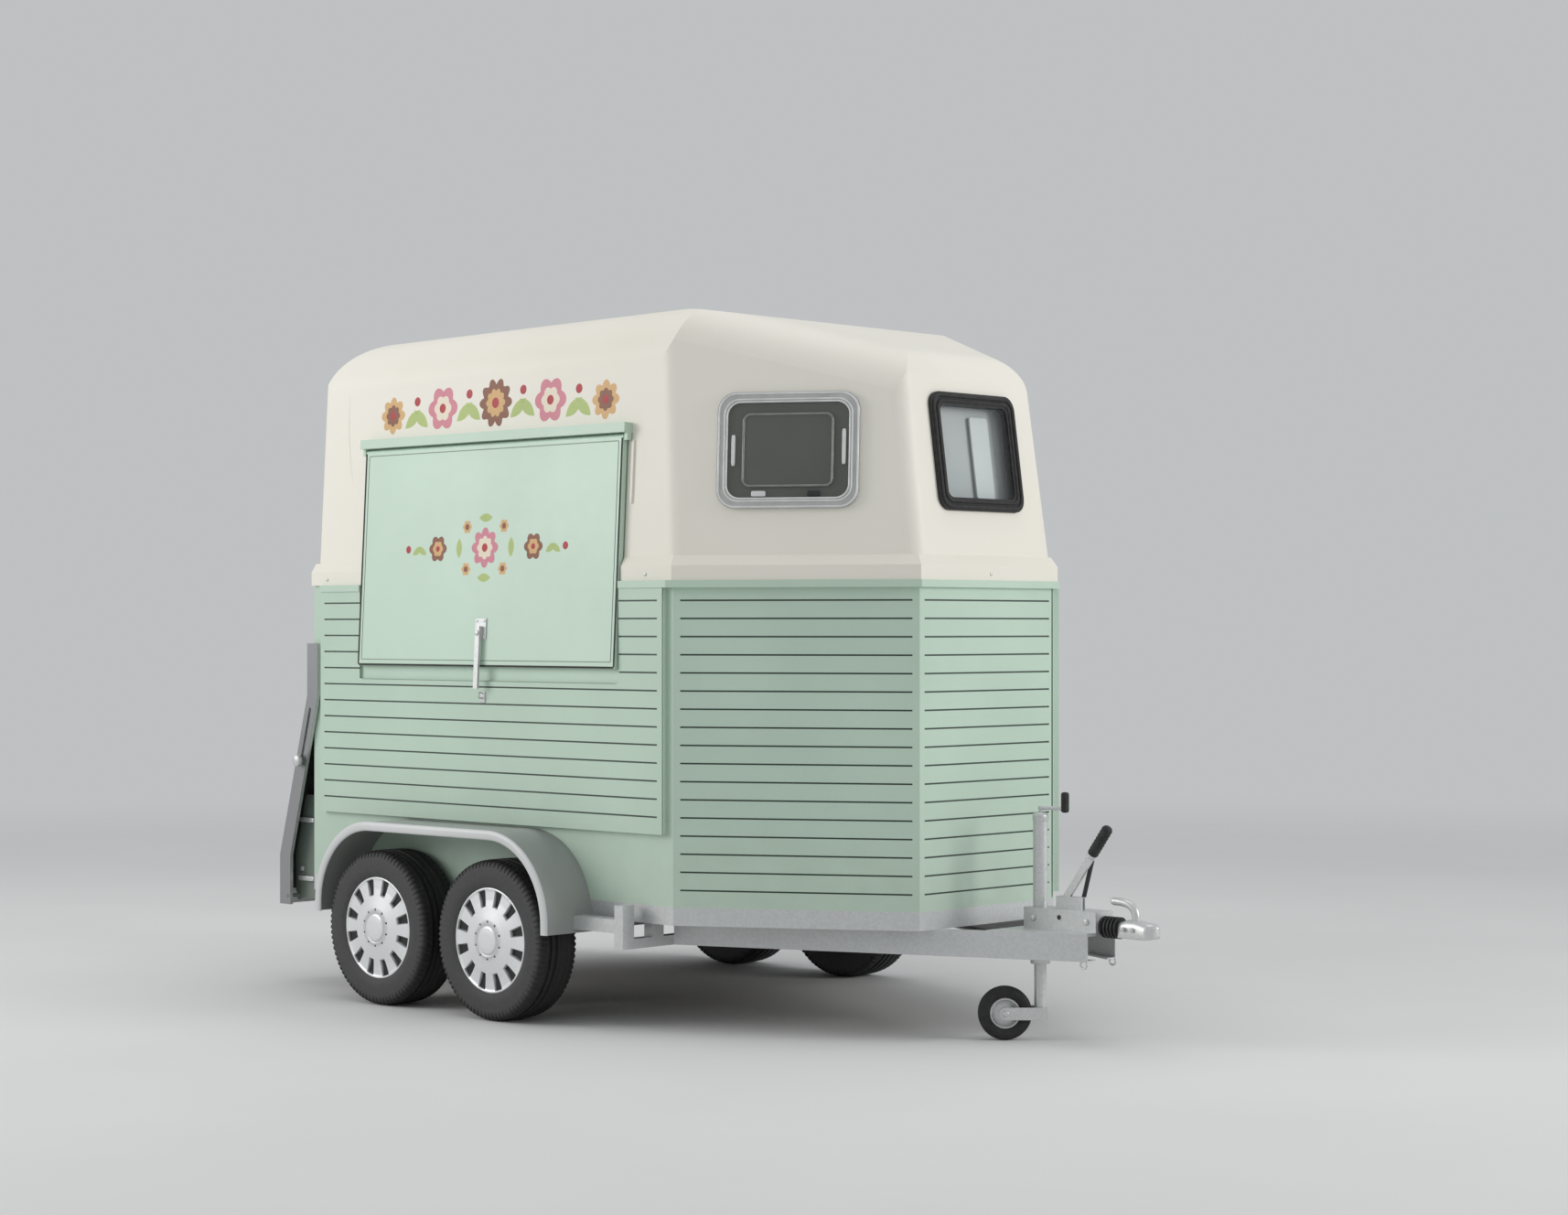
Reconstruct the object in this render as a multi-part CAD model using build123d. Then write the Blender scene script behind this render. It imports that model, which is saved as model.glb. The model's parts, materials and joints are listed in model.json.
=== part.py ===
from build123d import *
import os
from math import atan2, cos, degrees, hypot, radians, sin, tan

# Food trailer converted from a two-horse trailer. Millimetres, +X forward to the coupling, +Y left, +Z up.
# The origin is the centre of the whole outline on the ground.

# Body plan and levels
body_width = 1680.0
side_length = 2102.0
nose_length = 764.0
front_width = 750.0
wall_bottom = 461.0
wall_top = 1631.0
wall_thickness = 30.0

# Reach of the ends past the body
coupling_reach = 758.0
ramp_reach = 205.0

# Planked walls
plank_pitch = 64.8
groove_height = 6.0
groove_depth = 3.0
groove_end_margin = 26.0
top_groove_drop = 72.0
nose_groove_count = 17
side_groove_count = 13
cladding_proud = 25.0
cladding_bottom = 719.0
cladding_rear_margin = 74.0
cladding_front_margin = 32.0
nose_cladding_proud = 30.0
nose_cladding_margin = 24.0

# Waist rail
rail_height = 26.0
rail_proud = 20.0
rail_lip = 5.0

# Moulded upper shell
shell_thickness = 12.0
rim_height = 53.0
rim_proud = 14.0
rim_rear_proud = 0.0
flare_height = 36.0
shell_inset = 4.0
side_lean = 3.1
nose_lean = 5.5
front_lean = 8.0
rear_lean = 0.0
roof_height = 2636.0
roof_rear_drop = 22.0
roof_top_from_front = 800.0
front_eave_height = 2440.0
roof_fall_radius = 1800.0
corner_radius = 80.0
rear_corner_radius = 42.0
eave_radius = 220.0
nose_eave_radius = 200.0
rear_eave_radius = 280.0
front_eave_radius = 150.0
cut_allowance = 3000.0
block_step = 0.5
eave_step = 1.5

# Serving hatch in the right side
hatch_length = 1500.0
hatch_rear_margin = 336.0
hatch_bottom = 1312.0
hatch_height = 856.0
hatch_lean = 3.0
hatch_thickness = 22.0
hatch_foot_proud = 40.0
hatch_gap = 6.0
frame_rail = 42.0
frame_inner_lip = 8.0
sill_height = 52.0
hinge_rail_height = 36.0
hinge_rail_overhang = 16.0
hinge_rail_end = 22.0
hinge_pin_radius = 5.0
hinge_pin_depth = 40.0
latch_width = 60.0
latch_plate_low = 104.0
latch_plate_high = 184.0
latch_plate_thickness = 5.0
latch_lever_width = 24.0
latch_lever_low = -84.0
latch_lever_high = 154.0
latch_lever_thickness = 10.0
latch_lever_gap = 12.0

# Windows in the upper shell
window_sill_gap = 194.0
nose_window_width = 520.0
nose_window_height = 420.0
nose_window_radius = 68.0
nose_window_border = 34.0
front_window_width = 465.0
front_window_height = 430.0
front_window_radius = 50.0
front_window_border = 46.0
window_proud = 14.0
window_sink = 18.0
pane_thickness = 6.0
pane_back = 3.0
window_neck = 4.0
blister_width = 330.0
blister_height = 262.0
blister_radius = 24.0
blister_proud = 5.0

# Chassis and drawbar
chassis_depth = 66.0
chassis_width = 50.0
cross_member_width = 60.0
floor_thickness = 20.0
arm_height = 92.0
arm_flange = 46.0
arm_wall = 5.0
arm_tip_reach = 512.0
arm_tip_half = 82.0
arm_angle = 22.6
outrigger_height = 36.0
outrigger_depth = 44.0
outrigger_overhang = 96.0
upstand_width = 56.0
stay_bottom = 360.0
stay_height = 50.0
outrigger_share = 0.5711
hanger_y = 760.0

# Road wheels and axles
tyre_diameter = 600.0
tyre_width = 185.0
rim_radius = 178.0
rim_wall = 12.0
wheel_wall_gap = 20.0
axle_spacing = 666.0
rear_axle_from_rear = 658.0
stub_radius = 17.5
running_clearance = 0.05
axle_tube = 70.0
axle_lead = 130.0
swing_arm_width = 66.0
swing_arm_thickness = 26.0
cover_radius = 198.0
cover_thickness = 4.0
cover_dish = 20.0
cover_slots = 12
cover_flat = 24.0
cap_radius = 56.0
cap_proud = 10.0
cap_bevel = 6.0
slot_place = 157.0
slot_length = 60.0
slot_width = 27.0
tyre_seat_gap = 0.1
bead_tuck = 28.0
bead_flare = 6.0
sidewall_foot = 22.0
sidewall_belly = 60.0
shoulder_drop = 26.0
shoulder_tuck = 24.0
shoulder_bulge = 8.0
rim_half = 72.0
disc_place = 16.0
disc_thickness = 12.0
drum_radius = 115.0
drum_inner = -88.0
swing_arm_inset = 12.0
stub_past_centre = 22.0

# Mudguards
guard_top = 709.0
guard_radius = 330.0
guard_wall = 3.0
guard_lip = 28.0
guard_overhang = 20.0
guard_front_gap = 52.0
guard_end_height = 345.0

# Overrun coupling and handbrake
housing_rear = 205.0
housing_length = 320.0
housing_height = 72.0
housing_width = 100.0
housing_wall = 6.0
shaft_drop = 16.0
bellows_length = 76.0
bellows_radius = 38.0
bellows_folds = 5
head_width = 74.0
head_neck_width = 50.0
head_height = 66.0
head_rounding = 16.0
head_corner_radius = 35.0
ball_radius = 25.4
ball_depth = 36.0
ball_from_tip = 42.0
handle_radius = 9.0
lever_reach = 342.0
lever_rise = 262.0
lever_run = 190.0
lever_width = 26.0
lever_thickness = 12.0
lever_lift = 4.0
cheek_thickness = 6.0
cheek_height = 44.0
cheek_margin = 22.0
strut_radius = 8.0
strut_pin_radius = 6.0
strut_lead = 70.0
strut_share = 0.6
grip_share = 0.36
grip_radius = 17.0
plate_thickness = 6.0
plate_margin = 30.0
clamp_clearance = 0.2
handle_setback = 60.0
handle_rise = 54.0
handle_length = 104.0
handle_tip_rise = 8.0
handle_elbow_radius = 10.5

# Jockey wheel
jockey_reach = 240.0
jockey_tube_radius = 26.0
jockey_wall = 4.0
jockey_top = 800.0
jockey_bottom = 285.0
jockey_leg_gap = 0.3
jockey_tyre_radius = 96.0
jockey_tyre_width = 50.0
jockey_rim_radius = 58.0
jockey_rim_width = 30.0
jockey_hub_radius = 20.0
jockey_tyre_rounding = 17.0
jockey_trail = 126.0
jockey_trail_bearing = 224.0
jockey_axle_radius = 8.0
fork_thickness = 6.0
fork_height = 44.0
fork_gap = 6.0
hub_side_play = 0.5
leg_top = 520.0
collar_height = 22.0
collar_radius = 34.0
crank_bearing = 30.0
crank_rise = 22.0
crank_length = 88.0
crank_radius = 7.0
crank_elbow_radius = 9.0
crank_knob = 54.0
knob_radius = 12.0

# Rear doorway and ramp
post_width = 60.0
doorway_top = 1400.0
ramp_top = 1397.0
ramp_upper_bend = 1184.0
ramp_lower_bend = 528.0
ramp_bottom = 326.0
ramp_top_offset = 22.0
ramp_thickness = 12.0
mat_thickness = 4.0
channel_width = 70.0
channel_thickness = 14.0
channel_wall_gap = 6.0
ramp_pin_height = 360.0
ramp_pin_inset = 17.0
ramp_pin_radius = 9.0
side_plate_thickness = 6.0
side_plate_inset = 40.0
side_plate_top = 775.0
side_plate_gap = 12.0
mat_margin = 60.0
mat_side_margin = 16.0
pin_lug_radius = 20.0
channel_slot = 226.0
channel_slot_width = 14.0
channel_slot_place = 0.76
knob_reach = 30.0
ramp_knob_radius = 17.0
lamp_radius = 45.0
lamp_depth = 24.0
lamp_inset = 90.0

# Places worked out from the sizes above
body_length = side_length + nose_length
half_width = body_width / 2
half_front = front_width / 2
front_x = (body_length + ramp_reach - coupling_reach) / 2
rear_x = front_x - body_length
shoulder_x = front_x - nose_length
nose_angle = degrees(atan2(half_width - half_front, nose_length))
chassis_bottom = wall_bottom - chassis_depth
rim_top = wall_top + rim_height
flare_top = rim_top + flare_height
window_centre_height = rim_top + window_sill_gap + max(nose_window_height, front_window_height) / 2
tyre_radius = tyre_diameter / 2
half_track = half_width + wheel_wall_gap + tyre_width / 2
rear_axle_x = rear_x + rear_axle_from_rear
front_axle_x = rear_axle_x + axle_spacing
nodes = {}


def plan_corners(side, nose, front, rear):
    """Corners of the body plan, anticlockwise from the right rear, each face moved out by its own amount."""
    s, c = sin(radians(nose_angle)), cos(radians(nose_angle))
    shoulder = shoulder_x + (nose - c * side) / s
    corner = -half_width + (s * (nose_length + front) - nose) / c
    right = [(rear_x - rear, -half_width - side), (shoulder, -half_width - side), (front_x + front, corner)]
    return right + [(x, -y) for x, y in reversed(right)]


def plan(offset):
    return plan_corners(offset, offset, offset, offset)


def prism(points, bottom, top):
    """Upright solid over a plan polygon."""
    return Pos(0, 0, bottom) * extrude(make_face(Polyline(*points, close=True)), top - bottom, dir=(0, 0, 1))


def block(x0, x1, y0, y1, z0, z1):
    return Pos((x0 + x1) / 2, (y0 + y1) / 2, (z0 + z1) / 2) * Box(x1 - x0, y1 - y0, z1 - z0)


def rod(start, end, radius):
    """Round bar between two points."""
    axis = Vector(*end) - Vector(*start)
    return extrude(Plane(origin=start, z_dir=axis) * Circle(radius), axis.length)


def mirrored(solid):
    return mirror(solid, about=Plane.XZ)


def facet_plane(start, end, height, lean=0.0):
    """Plane on a wall face: x along the wall, y up it, z outwards. Lean tips its top inwards."""
    run, rise = end[0] - start[0], end[1] - start[1]
    length = hypot(run, rise)
    outward = Vector(rise / length, -run / length, 0) * cos(radians(lean)) + Vector(0, 0, sin(radians(lean)))
    middle = ((start[0] + end[0]) / 2, (start[1] + end[1]) / 2, height)
    return Plane(origin=middle, x_dir=(run / length, rise / length, 0), z_dir=outward), length


def grooves(start, end, count, margin, top):
    """Row of plank grooves cut into one face."""
    face, length = facet_plane(start, end, 0)
    return [
        face * Pos(0, top - i * plank_pitch, 0) * Box(length - 2 * margin, groove_height, 2 * groove_depth)
        for i in range(count)
    ]


def wall(outer, inner, i):
    """One wall panel between two neighbouring plan corners, mitred where it meets the next."""
    return prism([outer[i], outer[i + 1], inner[i + 1], inner[i]], wall_bottom, wall_top)


outer_plan = plan(0)
inner_plan = plan(-wall_thickness)
RIGHT_SIDE, RIGHT_NOSE, FRONT, LEFT_NOSE, LEFT_SIDE = range(5)
top_groove = wall_top - top_groove_drop

walls = [wall(outer_plan, inner_plan, i) for i in range(5)]
for i in (RIGHT_NOSE, FRONT, LEFT_NOSE):
    walls[i] -= grooves(outer_plan[i], outer_plan[i + 1], nose_groove_count, groove_end_margin, top_groove)

# Serving hatch: a leaning rectangle on the right side
hatch_rear = rear_x + hatch_rear_margin
hatch_front = hatch_rear + hatch_length
hatch_outer_y = -half_width - hatch_foot_proud
hatch_plane = Plane(
    origin=((hatch_rear + hatch_front) / 2, hatch_outer_y, hatch_bottom),
    x_dir=(1, 0, 0),
    z_dir=(0, -cos(radians(hatch_lean)), sin(radians(hatch_lean))),
)
frame_depth = hatch_foot_proud + wall_thickness + frame_inner_lip


def hatch_slab(width, low, high, front, back):
    """Slab in the hatch's own plane: low and high up the slope, front and back from its outer face."""
    return hatch_plane * Pos(0, (low + high) / 2, (front + back) / 2) * Box(width, high - low, front - back)


frame_front = -hatch_thickness - hatch_gap
frame_low = -sill_height
frame_high = hatch_height + hatch_gap + hinge_rail_height
frame_outer = hatch_slab(hatch_length, frame_low, frame_high, frame_front, -frame_depth)
frame_opening = hatch_slab(
    hatch_length - 2 * frame_rail, frame_rail, hatch_height - frame_rail, 0, -2 * frame_depth
)
nodes["hatch_frame"] = frame_outer - frame_opening

# The panel's top edge is rolled about the hinge line, and pins in the rail's ears carry it
hinge_line = hatch_height - hatch_thickness / 2


def hinge_rod(start, end, radius):
    """Round bar on the hinge line between two distances along it from the hatch's middle."""
    along = hatch_plane * Pos(start, hinge_line, -hatch_thickness / 2) * Rot(0, 90, 0)
    return along * Pos(0, 0, (end - start) / 2) * Cylinder(radius, end - start)


half_hatch = hatch_length / 2
ear_start = half_hatch + hatch_gap
ear_end = half_hatch + hinge_rail_end
pin_start = half_hatch - hinge_pin_depth
panel = hatch_slab(hatch_length, 0, hinge_line, 0, -hatch_thickness)
panel += hinge_rod(-half_hatch, half_hatch, hatch_thickness / 2)
hinge_rail = hatch_slab(2 * ear_end, hatch_height + hatch_gap, frame_high, hinge_rail_overhang, frame_front)
ear = hatch_slab(ear_end - ear_start, hinge_line - hatch_thickness / 2, frame_high, 0, -hatch_thickness)
for side in (1, -1):
    low, high = sorted((side * pin_start, side * ear_start))
    panel -= hinge_rod(low, high, hinge_pin_radius + running_clearance)
    hinge_rail += Pos(side * (ear_start + ear_end) / 2, 0, 0) * ear
    hinge_rail += hinge_rod(low, high, hinge_pin_radius)
nodes["hatch_panel"] = panel
nodes["hatch_hinge_rail"] = hinge_rail

latch_front = latch_lever_gap + latch_lever_thickness
latch = hatch_slab(latch_width, latch_plate_low, latch_plate_high, latch_plate_thickness, 0)
latch += hatch_slab(latch_lever_width, latch_plate_low, latch_lever_high, latch_front, 0)
latch += hatch_slab(latch_lever_width, latch_lever_low, latch_lever_high, latch_front, latch_lever_gap)
nodes["hatch_latch"] = latch

hatch_room = frame_outer
room_width = hatch_length + 2 * hatch_gap
ear_low = hinge_line - hatch_thickness / 2
for width, low in ((room_width, frame_low), (2 * ear_end, ear_low)):
    hatch_room += hatch_slab(width, low, frame_high, hatch_foot_proud, frame_front)
walls[RIGHT_SIDE] -= hatch_room
nodes["side_wall_right"] = walls[RIGHT_SIDE]
nodes["nose_wall_right"] = walls[RIGHT_NOSE]
nodes["front_wall"] = walls[FRONT]
nodes["nose_wall_left"] = walls[LEFT_NOSE]
nodes["side_wall_left"] = walls[LEFT_SIDE]

# Raised planked cladding on the sides and the left nose
rail_bottom = wall_top - rail_height
cladding_rear = rear_x + cladding_rear_margin
cladding_front = shoulder_x - cladding_front_margin


def side_cladding():
    face_y = -half_width - cladding_proud
    board = block(cladding_rear, cladding_front, face_y, -half_width, cladding_bottom, rail_bottom)
    start, end = (cladding_rear, face_y), (cladding_front, face_y)
    return board - grooves(start, end, side_groove_count, groove_end_margin, top_groove)


nodes["side_cladding_left"] = mirrored(side_cladding())
nodes["side_cladding_right"] = side_cladding() - hatch_room
left_nose_plane, left_nose_length = facet_plane(outer_plan[LEFT_NOSE], outer_plan[LEFT_NOSE + 1], 0)
nose_board_bottom = wall_bottom + nose_cladding_margin
nodes["nose_cladding_left"] = (
    left_nose_plane
    * Pos(0, (nose_board_bottom + rail_bottom) / 2, nose_cladding_proud / 2)
    * Box(left_nose_length - 2 * nose_cladding_margin, rail_bottom - nose_board_bottom, nose_cladding_proud)
)

# Waist rail round the sides and nose
rail_outer = plan_corners(cladding_proud + rail_lip, rail_proud, rail_proud, -cladding_rear_margin)
rail = prism(rail_outer, rail_bottom, wall_top) - prism(outer_plan, rail_bottom, wall_top)
nodes["waist_rail"] = rail - hatch_room


def shell_offsets(height, inset):
    """How far each face of the leaning shell stands inside the wall plane at a height."""
    rise = height - rim_top
    return [
        -shell_inset - inset / cos(radians(lean)) - rise * tan(radians(lean))
        for lean in (side_lean, nose_lean, front_lean, rear_lean)
    ]


def frustum(low_points, low, high_points, high):
    """Solid with flat leaning faces between two plan polygons."""
    bottom = make_face(Polyline(*[(x, y, low) for x, y in low_points], close=True))
    top = make_face(Polyline(*[(x, y, high) for x, y in high_points], close=True))
    return loft([bottom, top], ruled=True)


def rounded(face, point, radius):
    """Face with its corner nearest to a point rounded."""
    corner = face.vertices().sort_by_distance(Vector(*point))[0]
    return fillet(corner, radius)


def roof_line(inset):
    """Side view of the roof as three corners: rear eave, highest place, front eave."""
    rear, top, front = (z - inset for z in (roof_height - roof_rear_drop, roof_height, front_eave_height))
    return [
        (rear_x - shell_offsets(rear, inset)[3], rear),
        (front_x - roof_top_from_front, top),
        (front_x + shell_offsets(front, inset)[2], front),
    ]


def roof_block(inset):
    """Everything under the side view of the roof, with its eaves and the start of its fall rounded."""
    rear, top, front = roof_line(inset)
    offsets = shell_offsets(wall_top, inset)
    feet = (front_x + offsets[2], wall_top), (rear_x - offsets[3], wall_top)
    outline = make_face(Polyline(rear, top, front, *feet, close=True))
    outline = rounded(outline, rear, rear_eave_radius - inset)
    outline = rounded(outline, front, front_eave_radius - inset)
    outline = rounded(outline, top, roof_fall_radius)
    return extrude(Plane.XZ * outline, body_width, both=True)


def loaf_block(inset):
    """Everything under the end view of the roof, with its side eaves rounded, along the roof's line."""
    (rear_x_top, rear_top), (top_x, top), _ = roof_line(inset)
    foot = half_width + shell_offsets(wall_top, inset)[0] + eave_step
    eave = half_width + shell_offsets(top, inset)[0] + eave_step
    feet = (-foot, wall_top), (foot, wall_top)
    outline = make_face(Polyline((-eave, top), *feet, (eave, top), close=True))
    for side in (-eave, eave):
        outline = rounded(outline, (side, top), eave_radius - inset)
    along = (top_x - rear_x_top, 0, top - rear_top)
    end_view = Plane(origin=(top_x, 0, 0), x_dir=(0, 1, 0), z_dir=(1, 0, 0))
    return extrude(end_view * outline, cut_allowance, along, both=True)


def nose_block(inset):
    """Everything under the right nose face and the falling roof, with the eave between them rounded."""
    corners = plan_corners(*shell_offsets(rim_top, inset))
    face, _ = facet_plane(corners[RIGHT_NOSE], corners[RIGHT_NOSE + 1], rim_top, nose_lean)
    _, top, front = roof_line(inset)
    fall = Vector(front[0] - top[0], 0, front[1] - top[1]).normalized()
    roof_normal = Vector(-fall.Z, 0, fall.X)
    along = face.z_dir.cross(roof_normal).normalized()
    down, inward = face.z_dir.cross(along) * cut_allowance, along.cross(roof_normal) * cut_allowance
    start = Vector(front[0], 0, front[1])
    corner = start - Vector(0, (start - face.origin).dot(face.z_dir) / face.z_dir.Y, 0)
    outline = make_face(Polyline(corner, corner + down, corner + down + inward, corner + inward, close=True))
    return extrude(rounded(outline, tuple(corner), nose_eave_radius - inset), cut_allowance, both=True)


def hood(inset):
    """Upper shell as a solid block: leaning faces, a roof that falls to the front, and rounded eaves.

    The blocks that round the eaves stand a little outside the faces, so that no two faces lie in one plane.
    """
    low, high = rim_top, roof_height + eave_radius
    sides = frustum(
        plan_corners(*shell_offsets(low, inset)), low, plan_corners(*shell_offsets(high, inset)), high
    )
    middle = (rear_x + shoulder_x) / 2
    for at_rear, radius in ((True, rear_corner_radius), (False, corner_radius)):
        upright = [e for e in sides.edges() if abs(e.tangent_at(0.5).Z) > cos(radians(45))]
        sides = fillet([e for e in upright if (e.center().X < middle) == at_rear], radius - inset)
    nose = nose_block(inset - 2 * block_step)
    return sides & roof_block(inset - block_step) & loaf_block(inset) & nose & mirrored(nose)


hood_outer = hood(0)
hood_inner = hood(shell_thickness)
rim_plan = plan_corners(rim_proud, rim_proud, rim_proud, rim_rear_proud)
rim = prism(rim_plan, wall_top, rim_top)
flare = frustum(rim_plan, rim_top, plan_corners(*shell_offsets(flare_top, 0)), flare_top)
rim_hollow = prism(plan_corners(*shell_offsets(rim_top, shell_thickness)), wall_top, rim_top)
shell = (hood_outer + rim + flare) - hood_inner - rim_hollow
shell -= hatch_room


# Windows: a frame on the shell's skin, a neck through it and a pane
def window_plane(side):
    corners = plan_corners(*shell_offsets(window_centre_height, 0))
    lean = front_lean if side == FRONT else nose_lean
    return facet_plane(corners[side], corners[side + 1], window_centre_height, lean)[0]


def window_slab(plane, width, height, radius, back, front):
    return extrude(plane * Pos(0, 0, back) * RectangleRounded(width, height, radius), front - back)


def window_frame(plane, width, height, radius, border):
    inside = (width - 2 * border, height - 2 * border, radius - border / 2)
    neck = (inside[0] + 2 * window_neck, inside[1] + 2 * window_neck, inside[2] + window_neck)
    flange = window_slab(plane, width, height, radius, 0, window_proud)
    tube = window_slab(plane, *neck, -window_sink, 0)
    frame = flange + tube - window_slab(plane, *inside, -window_sink, window_proud)
    hole = window_slab(plane, *neck, -2 * window_sink, window_proud)
    pane = window_slab(plane, *inside, pane_back, pane_back + pane_thickness)
    return frame, hole, pane


nose_plane = window_plane(RIGHT_NOSE)
frame, nose_hole, pane = window_frame(
    nose_plane, nose_window_width, nose_window_height, nose_window_radius, nose_window_border
)
blister_front = pane_back + pane_thickness + blister_proud
pane += window_slab(nose_plane, blister_width, blister_height, blister_radius, pane_back, blister_front)
nodes["nose_window_frames"] = [frame, mirrored(frame)]
nodes["nose_window_panes"] = [pane, mirrored(pane)]
frame, front_hole, pane = window_frame(
    window_plane(FRONT), front_window_width, front_window_height, front_window_radius, front_window_border
)
nodes["front_window_seal"] = frame
nodes["front_window_glass"] = pane
nodes["upper_shell"] = shell - nose_hole - mirrored(nose_hole) - front_hole

# Chassis, floor and rear doorway
post_outer = half_width - wall_thickness
post_inner = post_outer - post_width
axle_tube_places = [axle + axle_lead for axle in (front_axle_x, rear_axle_x)]
chassis = prism(outer_plan, chassis_bottom, wall_bottom)
chassis -= prism(plan(-chassis_width), chassis_bottom, wall_bottom)
for x in axle_tube_places + [shoulder_x]:
    half = cross_member_width / 2
    member_end = half_width - chassis_width / 2
    chassis += block(x - half, x + half, -member_end, member_end, chassis_bottom, wall_bottom)
nodes["chassis_frame"] = chassis
post = block(rear_x, rear_x + post_width, post_inner, post_outer, wall_bottom, wall_top)
nodes["rear_posts"] = [post, mirrored(post)]
deck = prism(inner_plan, wall_bottom, wall_bottom + floor_thickness)
nodes["floor_deck"] = deck - post - mirrored(post)
nodes["rear_upper_panel"] = block(
    rear_x, rear_x + wall_thickness, -post_inner, post_inner, doorway_top, wall_top
)
lamp_height = (doorway_top + wall_top) / 2
lamp_y = post_inner - lamp_inset
lamp = rod((rear_x, lamp_y, lamp_height), (rear_x - lamp_depth, lamp_y, lamp_height), lamp_radius)
nodes["rear_lamps"] = [lamp, mirrored(lamp)]

# Drawbar: two channel arms that meet under the coupling, and the outrigger behind them
arm_bottom = chassis_bottom - arm_height
arm_tip_x = front_x + arm_tip_reach
tyre_front = front_axle_x + tyre_radius
outrigger_rear = tyre_front + outrigger_share * (shoulder_x - tyre_front)
outrigger_front = outrigger_rear + outrigger_depth


def arm_strip(inner, outer, bottom, top):
    """Bar along the right arm between two distances in from its outer face."""
    slope = tan(radians(arm_angle))
    scale = 1 / cos(radians(arm_angle))
    rear_half = arm_tip_half + (arm_tip_x - outrigger_front) * slope
    points = [
        (arm_tip_x, -arm_tip_half + outer * scale),
        (arm_tip_x, -arm_tip_half + inner * scale),
        (outrigger_front, -rear_half + inner * scale),
        (outrigger_front, -rear_half + outer * scale),
    ]
    return prism(points, bottom, top)


arm = arm_strip(arm_wall, 0, arm_bottom, chassis_bottom)
arm += arm_strip(arm_flange, 0, arm_bottom, arm_bottom + arm_wall)
arm += arm_strip(arm_flange, 0, chassis_bottom - arm_wall, chassis_bottom)
nodes["drawbar_right"] = arm
nodes["drawbar_left"] = mirrored(arm)
outrigger_end = half_width + outrigger_overhang
beam = block(
    outrigger_rear, outrigger_front, -outrigger_end, outrigger_end, arm_bottom, arm_bottom + outrigger_height
)
upstand = block(
    outrigger_rear, outrigger_front, outrigger_end - upstand_width, outrigger_end, arm_bottom, wall_bottom
)
hanger = block(
    outrigger_rear, outrigger_front, hanger_y - upstand_width / 2, hanger_y + upstand_width / 2,
    arm_bottom, chassis_bottom,
)
stay = block(
    tyre_front + guard_front_gap, outrigger_rear, outrigger_end - upstand_width, outrigger_end,
    stay_bottom, stay_bottom + stay_height,
)
side_pieces = upstand + hanger + stay
nodes["outrigger_beam"] = beam + side_pieces + mirrored(side_pieces)

# Axles: a tube across, a trailing arm at each end and the stub that carries the hub
arm_inner_y = half_width - chassis_width + swing_arm_inset
arm_outer_y = arm_inner_y + swing_arm_thickness
stub_end = half_track + stub_past_centre


def axle(x):
    tube_x, tube_z = x + axle_lead, chassis_bottom - axle_tube / 2
    half_tube = axle_tube / 2
    tube_low = chassis_bottom - axle_tube
    tube = block(tube_x - half_tube, tube_x + half_tube, -arm_inner_y, arm_inner_y, tube_low, chassis_bottom)
    reach = Vector(x - tube_x, 0, tyre_radius - tube_z)
    middle = Vector((x + tube_x) / 2, arm_inner_y, (tyre_radius + tube_z) / 2)
    arm_face = Plane(origin=middle, x_dir=reach, z_dir=(0, 1, 0))
    swing = extrude(arm_face * SlotCenterToCenter(reach.length, swing_arm_width), swing_arm_thickness)
    stub = rod((x, arm_outer_y, tyre_radius), (x, stub_end, tyre_radius), stub_radius)
    side = swing + stub
    return tube + side + mirrored(side)


nodes["axle_front"] = axle(front_axle_x)
nodes["axle_rear"] = axle(rear_axle_x)


# Road wheels, made for the left side about the Y axis with +Y outwards
def ring(outer, inner, low, high):
    """Round ring about the Y axis."""
    turned = Plane(origin=(0, low, 0), z_dir=(0, 1, 0))
    solid = extrude(turned * Circle(outer), high - low)
    return solid - extrude(turned * Circle(inner), high - low) if inner else solid


def road_tyre():
    bead, half = rim_radius + tyre_seat_gap, tyre_width / 2
    right = [
        (bead, half - bead_tuck),
        (bead + sidewall_foot, half - bead_tuck + bead_flare),
        (bead + sidewall_belly, half),
        (tyre_radius - shoulder_drop, half - shoulder_bulge),
        (tyre_radius, half - shoulder_tuck),
    ]
    profile = make_face(Polyline(*right, *[(r, -y) for r, y in reversed(right)], close=True))
    return revolve(profile, Axis.Y)


def road_rim():
    solid = ring(rim_radius, rim_radius - rim_wall, -rim_half, rim_half)
    solid += ring(rim_radius - rim_wall / 2, 0, disc_place, disc_place + disc_thickness)
    solid += ring(drum_radius, 0, drum_inner, disc_place)
    return solid - ring(stub_radius + running_clearance, 0, drum_inner, disc_place + disc_thickness)


def wheel_cover():
    """Dished cover with a raised middle and a ring of slots."""
    edge = rim_half
    profile = make_face(
        Polyline(
            (0, edge + cover_dish - cover_thickness),
            (cap_radius, edge + cover_dish - cover_thickness),
            (cover_radius - cover_flat, edge),
            (cover_radius, edge),
            (cover_radius, edge + cover_thickness),
            (cover_radius - cover_flat, edge + cover_thickness),
            (cap_radius, edge + cover_dish),
            (cap_radius - cap_bevel, edge + cover_dish + cap_proud),
            (0, edge + cover_dish + cap_proud),
            close=True,
        )
    )
    cover = revolve(profile, Axis.Y)
    cutter = Pos(slot_place, edge + cover_dish / 2, 0) * Box(slot_length, 3 * cover_dish, slot_width)
    return cover - [Rot(0, 360 / cover_slots * i, 0) * cutter for i in range(cover_slots)]


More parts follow.
